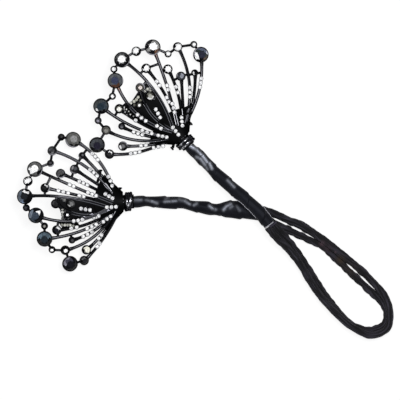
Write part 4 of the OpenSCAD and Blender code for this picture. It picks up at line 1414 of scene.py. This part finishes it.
# %% Winding the ribbon
def wrap_section(end):
    """Points of the wrap in rings, their uv places, and how smooth the ribbon is at each, which also paints
    its highlight.
    """
    (x, y), aim = NECKS[end]
    c, s = math.cos(math.radians(aim)), math.sin(math.radians(aim))
    backs = (WRAP_SEAT, WRAP_SEAT + WRAP_START_L)
    starts = [(x - back * c, y - back * s, NECK_H, WRAP_START_W) for back in backs]
    rows, run = even_rows(starts + list(WRAPS[end]), RING_STEP, 3)
    path = rows[:, :3]
    ahead = headings(path)
    side = left_of(ahead)
    up = np.cross(ahead, side)
    a = full_turn(AROUND)
    lap = np.mod(run[:, None] / RIBBON_PITCH - a[None] / (2 * math.pi) + 0.5, 1)
    edge = np.where(lap < LAP_RISE, (lap / LAP_RISE) ** LAP_CURVE, (1 - lap) / LAP_FALL)
    rng = np.random.default_rng(FOLD_DRAW[end])
    soft = dents(run, a, SOFT_FOLDS, SOFT_FOLDS, rng)
    crisp = dents(run, a, CRISP_OUT, CRISP_IN, rng)
    grow = 1 - RIBBON_RIDGE / 2 + RIBBON_RIDGE * edge + SOFT_SHARE * soft + CRISP_SHARE * crisp
    width = rows[:, 3]
    thick = np.minimum(width, WRAP_T)
    across = (width / 2)[:, None] * np.cos(a)[None] * grow
    upward = (thick / 2)[:, None] * np.sin(a)[None] * grow
    points = path[:, None] + across[..., None] * side[:, None] + upward[..., None] * up[:, None]
    upper_side = np.clip(3 * np.sin(a), 0, 1)
    smooth = np.zeros(points.shape[:2])
    crest = path[:, 2] + (thick / 2) * grow[:, AROUND // 4]
    for x1, y1, x2, y2, strength in BRIGHT_FOLDS[end]:
        gap = near_segment(points, x1, y1, x2, y2)
        lift = crest[:, None] - points[..., 2]
        points[..., 2] += strength * upper_side * np.exp(-(gap / FOLD_HALF) ** 4) * lift
        # The smooth amount paints a highlight along each bright fold
        smooth = np.maximum(smooth, strength * upper_side * np.exp(-(gap / FOLD_HIGHLIGHT_REACH) ** 2))
    points[..., 2] = np.maximum(points[..., 2], 0)
    points = push_out(points, RIBBON_LUMPS[end])
    return points - MIDDLE, ring_uv(run, a, WRAP_T), smooth


wrap_points = {}
for end in WRAPS:
    wrap_points[end], uv, smooth = wrap_section(end)
    clay = new_clay()
    add_rings(clay, wrap_points[end], smooth, uv)
    make_piece("ribbon_" + end, clay, satin, ("wrap_" + end,), "smooth", SOFT_CREASE)

# %% [markdown]
# ## Threads on the ribbon
# A thin pale line lies across the ribbon's end, and pale lines run along both of its edges where it passes
# over the other end. They are fine pale threads that lie on the ribbon and paint in highlights along its
# end and edges. A dark violet cord just beyond the pale one paints in the shadow under the cut end. It is
# plain, with no relief.

# %% Thread
def twisted_cotton(name, dark, pale, twist, rough, relief=0.0):
    """Dyed cotton. twist is the length of a turn of its strands in mm, relief how clearly they stand out."""
    material, tree = new_material(name)
    place = (add(tree, "ShaderNodeTexCoord"), "Object")
    turns = add(tree, "ShaderNodeTexNoise", {"Scale": 1 / (twist * MM), "Detail": 1}, {"Vector": place})
    dye = add(
        tree, "ShaderNodeMix", {"data_type": "RGBA", 6: linear(dark), 7: linear(pale)}, {0: (turns, "Fac")},
    )
    looks = {"Base Color": (dye, 2)}
    if relief:
        settings = {"Strength": relief, "Distance": 0.04 * MM}
        looks["Normal"] = (add(tree, "ShaderNodeBump", settings, {"Height": (turns, "Fac")}), "Normal")
    fibre = add(tree, "ShaderNodeBsdfPrincipled", {"Roughness": rough}, looks)
    add(tree, "ShaderNodeOutputMaterial", {}, {"Surface": (fibre, "BSDF")})
    return material


highlight_thread_cotton = twisted_cotton("grey_thread_painted_highlight", "#77777f", "#b9b9c0", 0.4, 0.7, 0.4)
shadow_cord_cotton = twisted_cotton("violet_cord_painted_shadow", "#100e18", "#2a2338", 0.6, 0.85)


def ring_near(points, target):
    centres = points[:, :, :2].mean(axis=1)
    return int(np.argmin(np.linalg.norm(centres - target, axis=1)))


def column_at(degrees):
    return int(round(degrees / 360 * AROUND)) % AROUND


# %% Pale threads
THREAD_R = 0.16
END_THREAD_R = 0.22
THREAD_SIDES = 8
END_THREAD_ARC = (35, 150)
# Columns: place round the ribbon in degrees, where the thread begins and where it ends
# Threads along the ribbon's edges, which paint in highlights there
EDGE_HIGHLIGHT_THREADS = ((170, (16.5, -1.5), (28.0, -12.5)), (12, (26.0, -10.2), (31.0, -16.0)))

upper = wrap_points["upper"]
clay = new_clay()
lifted = np.array([0, 0, 0.5 * THREAD_R])
for degrees, begin, finish in EDGE_HIGHLIGHT_THREADS:
    rows = slice(ring_near(upper, begin), ring_near(upper, finish))
    tube(clay, upper[rows, column_at(degrees)] + lifted, THREAD_R, THREAD_SIDES)
# A pale thread across the ribbon's end paints in a highlight there
first, last = [column_at(degrees) for degrees in END_THREAD_ARC]
across_end = upper[-2, first:last]
tube(clay, across_end + 2 * lifted, END_THREAD_R, THREAD_SIDES)
make_piece("ribbon_painted_highlight_threads", clay, highlight_thread_cotton)

# %% Violet cord of painted shadow
SHADOW_CORD_R = 0.5
SHADOW_CORD_SIDES = 10
SHADOW_CORD_ARC = (5, 185)
# How far the cord lies off the ribbon's last ring, in its own radii
SHADOW_CORD_OFF = np.array([1.2, -0.9, -0.8])

# A dark violet cord that paints in the shadow under the ribbon's cut end
clay = new_clay()
first, last = [column_at(degrees) for degrees in SHADOW_CORD_ARC]
end_ring = upper[-1, first:last]
tube(clay, end_ring + SHADOW_CORD_R * SHADOW_CORD_OFF, SHADOW_CORD_R, SHADOW_CORD_SIDES)
make_piece("ribbon_cord_painted_shadow", clay, shadow_cord_cotton)

# %% [markdown]
# ## Padded cloth loop
# Two padded strips with a wire inside run side by side round the teardrop. They part here and there and
# are caught together between, and where the band is seen narrower than both, it rolls towards its edge.
# The sewing draws the cloth in every few millimetres, which gives the scalloped outline.

# %% Cloth strips
STRIP_W = 3.7
STRIP_T = 3.5
STRIP_GAP = 0.15
STRIP_PUCKER = 0.07
REST_FLAT = 0.3

# Columns: place of the band's middle, both strips' width seen from above, and clearance under them
LOOP = (
    (32.4, -18.2, 6.4, 5.7), (35.5, -21.5, 7.0, 5.3), (38.5, -24.5, 7.1, 4.2), (42.0, -28.2, 6.3, 2.4),
    (45.5, -32.7, 6.0, 0.9), (48.5, -37.2, 5.6, 0.2), (52.0, -42.5, 5.9, 0), (56.0, -49.0, 6.0, 0),
    (60.5, -55.2, 5.5, 0), (65.0, -60.5, 5.1, 0), (71.5, -67.0, 4.6, 0), (77.0, -70.2, 4.9, 0),
    (82.0, -71.8, 5.8, 0), (86.5, -71.0, 6.3, 0), (90.5, -68.5, 6.0, 0), (91.8, -63.5, 5.1, 0),
    (90.8, -58.5, 5.7, 0), (87.0, -52.5, 6.9, 0), (82.5, -48.0, 8.0, 0), (77.5, -43.2, 8.3, 0),
    (72.5, -38.8, 7.4, 0), (67.5, -34.2, 6.8, 0), (63.0, -30.2, 6.6, 0), (58.5, -26.8, 6.8, 0),
    (52.5, -23.5, 7.8, 0), (45.5, -19.8, 8.6, 0), (38.5, -16.6, 8.2, 0), (32.5, -13.8, 7.8, 0),
    (28.0, -12.2, 7.4, 0),
)
# Places where the two strips are caught together across the slit
TIES = ((33.4, -14.2), (42.3, -18.3), (49.7, -21.5), (56.2, -25.2), (76.8, -42.9))
TIE_REACH = 1.5
TIE_GAP = 0.1
# How many dents the padding has, their length in mm and how wide each is in radians
SOFT_DENTS = (8, 16, 0.5)
CRISP_DENTS = (12, 9, 0.14)
DENT_SHARE = 0.016
# How much of the slit the facing sides fill where it is open, and the gap in mm that counts as open
SLIT_FILL = 0.35
SLIT_OPENS = 0.3
# Share by which the free side of each strip is fuller than its half width
FULLER = {1: 0.1, -1: 0.03}
# Columns: place on the loop's outline, how far the lump reaches and how far it stands out
LOOP_LUMPS = (
    (50.2, -17.2, 3.5, 0.45), (71.1, -32.7, 5.5, 0.35), (91.6, -53.0, 2.5, 0.35), (39.6, -31.0, 6.0, 0.3),
    (49.9, -34.1, 2.5, 0.4), (52.8, -38.4, 2.0, 0.3), (63.5, -35.4, 3.0, 0.4), (83.0, -54.0, 3.0, 0.4),
    (89.0, -62.8, 2.5, 0.3), (49.4, -26.1, 3.5, -0.35), (57.0, -29.7, 2.5, -0.3), (64.3, -56.6, 1.6, 0.5),
    (84.1, -44.2, 5.0, -0.35), (42.2, -13.9, 2.5, -0.35), (81.0, -74.5, 7.0, 0.3), (57.5, -55.0, 5.0, 0.25),
    (65.5, -65.0, 5.0, 0.25), (50.1, -45.4, 3.5, 0.35), (77.4, -48.5, 2.5, -0.3), (43.4, -23.4, 2.0, -0.3),
)
# The same for the two sides that face each other across the slit
SLIT_LUMPS = ((72.9, -38.6, 1.9, -0.5),)
# Scallops drawn in by the sewing: depth as a share of the half width, and length in mm
SCALLOP = {1: (0.06, 3.1), -1: (0.17, 4.4)}
# How far their rhythm wanders, in radians, and over how many mm
SCALLOP_DRIFT = 0.9
DRIFT_L = 7
# Share of a scallop's depth by which the whole strip is thinner, to make room for it
SCALLOP_INSET = 0.4
# Columns: place, reach and strength of a tinted patch, brown above 0 and purple below
TINTED_PLACES = (
    (58.6, -27.2, 1.3, -0.8), (61.5, -29.6, 2.0, -0.3), (65.2, -31.6, 0.5, -1.0), (67.8, -35.4, 2.0, 0.9),
    (72.5, -40.0, 3.0, 0.35),
)
STRIP_AROUND = 40
print("ties across the slit", len(TIES))

# %% Padding both strips
def strip_section(out, seed):
    """One strip's rings. out is 1 for the outer strip and -1 for the inner one."""
    # A count that grows by 2 a row makes the strip pucker once between one row and the next
    counted = [row + (2.0 * i,) for i, row in enumerate(LOOP)]
    rows, run = even_rows(counted, RING_STEP, 2)
    span, lift, count = rows[:, 2], rows[:, 3], rows[:, 4]
    path = np.column_stack([rows[:, :2], np.zeros(len(rows))])
    left = left_of(headings(path))
    touching = STRIP_W + STRIP_GAP
    seen = span - STRIP_W
    roll = np.arccos(np.clip(seen / touching, 0, 1))
    pitch = np.maximum(seen, touching)
    tall = np.array([0.0, 0.0, 1.0])
    flat = -np.cos(roll)[:, None] * left + np.sin(roll)[:, None] * tall
    up = np.cos(roll)[:, None] * tall + np.sin(roll)[:, None] * left
    middle = path + (lift + STRIP_T / 2 - REST_FLAT + pitch / 2 * np.sin(roll))[:, None] * tall
    at = middle + (out * pitch / 2)[:, None] * flat
    a = full_turn(STRIP_AROUND)
    rng = np.random.default_rng(seed)
    drawn_in = STRIP_PUCKER * (0.5 - 0.5 * np.cos(math.pi * count))
    free_side = np.clip(out * np.cos(a), 0, 1)
    depth, length = SCALLOP[out]
    waves = np.abs(np.sin(math.pi * run / length + SCALLOP_DRIFT * np.sin(run / DRIFT_L)))
    free_fullness = (FULLER[out] + depth * waves[:, None]) * free_side[None]
    soft = dents(run, a, SOFT_DENTS, SOFT_DENTS, rng)
    crisp = dents(run, a, CRISP_DENTS, CRISP_DENTS, rng)
    swell = 1 - drawn_in[:, None] + free_fullness - SCALLOP_INSET * depth + DENT_SHARE * (soft + crisp)
    across = STRIP_W / 2 * np.cos(a)[None] * swell
    near_tie = np.zeros(len(rows))
    for x, y in TIES:
        near_tie = np.maximum(near_tie, nearness(path, x, y, TIE_REACH, 4))
    facing = np.clip(-out * np.cos(a), 0, 1) ** 3
    closed = np.clip(1 - (pitch - touching) / SLIT_OPENS, 0, 1)
    filled = SLIT_FILL + (1 - SLIT_FILL) * np.maximum(near_tie, closed)
    short = pitch[:, None] / 2 - STRIP_W / 2 * swell - TIE_GAP / 2
    across -= out * filled[:, None] * short * facing[None]
    upward = STRIP_T / 2 * np.sin(a)[None] * swell
    points = at[:, None] + across[..., None] * flat[:, None] + upward[..., None] * up[:, None]
    points[..., 2] = np.maximum(points[..., 2], 0)
    points = push_out(points, LOOP_LUMPS, free_side[None])
    points = push_out(points, SLIT_LUMPS, facing[None])
    tinted = sum(strength * nearness(points, x, y, reach) for x, y, reach, strength in TINTED_PLACES)
    return points - MIDDLE, ring_uv(run, a, STRIP_W), tinted


for strip_name, out, seed in (("outer", 1, 11), ("inner", -1, 12)):
    points, uv, tinted = strip_section(out, seed)
    clay = new_clay()
    add_rings(clay, points, tinted, uv)
    piece = make_piece(
        "cloth_strip_" + strip_name, clay, cloth, ("loop_strip_" + strip_name,), "tinted",
        SOFT_CREASE,
    )

# %% [markdown]
# ## Floor and light
# The photo is cut out on white, so the floor is a plain pale sheet that glows a little, which keeps the
# shadows faint. One large soft light hangs overhead, a little towards the upper right, because the tables
# of the stones that lean that way are the white ones. A weak second light keeps the far side open.

# %% Floor
FLOOR_SIZE = 3000
PAPER_FIBRE = 1.5

floor_mesh = bpy.data.meshes.new("floor")
half = FLOOR_SIZE / 2 * MM
corners = [(x * half, y * half, 0) for x, y in ((-1, -1), (1, -1), (1, 1), (-1, 1))]
floor_mesh.from_pydata(corners, [], [(0, 1, 2, 3)])
floor = bpy.data.objects.new("floor", floor_mesh)
bpy.context.scene.collection.objects.link(floor)
paper, tree = new_material("white_backing_paper")
place = (add(tree, "ShaderNodeTexCoord"), "Object")
fibres = add(tree, "ShaderNodeTexNoise", {"Scale": 1 / (PAPER_FIBRE * MM), "Detail": 2}, {"Vector": place})
relief = add(tree, "ShaderNodeBump", {"Strength": 0.05, "Distance": 0.05 * MM}, {"Height": (fibres, "Fac")})
sheet = add(
    tree, "ShaderNodeBsdfPrincipled",
    {
        "Base Color": linear("#6a6a6a"), "Roughness": 0.9, "Emission Color": linear("#ffffff"),
        "Emission Strength": 0.86,
    },
    {"Normal": (relief, "Normal")},
)
add(tree, "ShaderNodeOutputMaterial", {}, {"Surface": (sheet, "BSDF")})
floor_mesh.materials.append(paper)
floor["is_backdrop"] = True

# %% Light
ROOM_COLOUR = "#d7dae0"
ROOM_LIGHT = 0.35


def softbox(name, place, size, power, aim=(0, 0, 0)):
    light = bpy.data.lights.new(name, "AREA")
    light.shape = "SQUARE"
    light.size = size * MM
    light.energy = power
    lamp = bpy.data.objects.new(name, light)
    bpy.context.scene.collection.objects.link(lamp)
    lamp.location = [v * MM for v in place]
    lamp.rotation_euler = (Vector(aim) - Vector(place)).to_track_quat("-Z", "Y").to_euler()
    lamp.visible_camera = False
    return lamp


softbox("softbox", (150, 150, 1000), size=420, power=9)
softbox("fill", (-900, -500, 700), size=500, power=2.5)

world = bpy.data.worlds.new("studio")
bpy.context.scene.world = world
world.use_nodes = True
room = world.node_tree.nodes["Background"]
room.inputs["Color"].default_value = linear(ROOM_COLOUR)
room.inputs["Strength"].default_value = ROOM_LIGHT

# %% Sizes
seen_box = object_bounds()
grown = (np.array(seen_box) - np.array(cad_box)) / MM
print("grown at each side in mm", np.round(grown, 2).tolist())
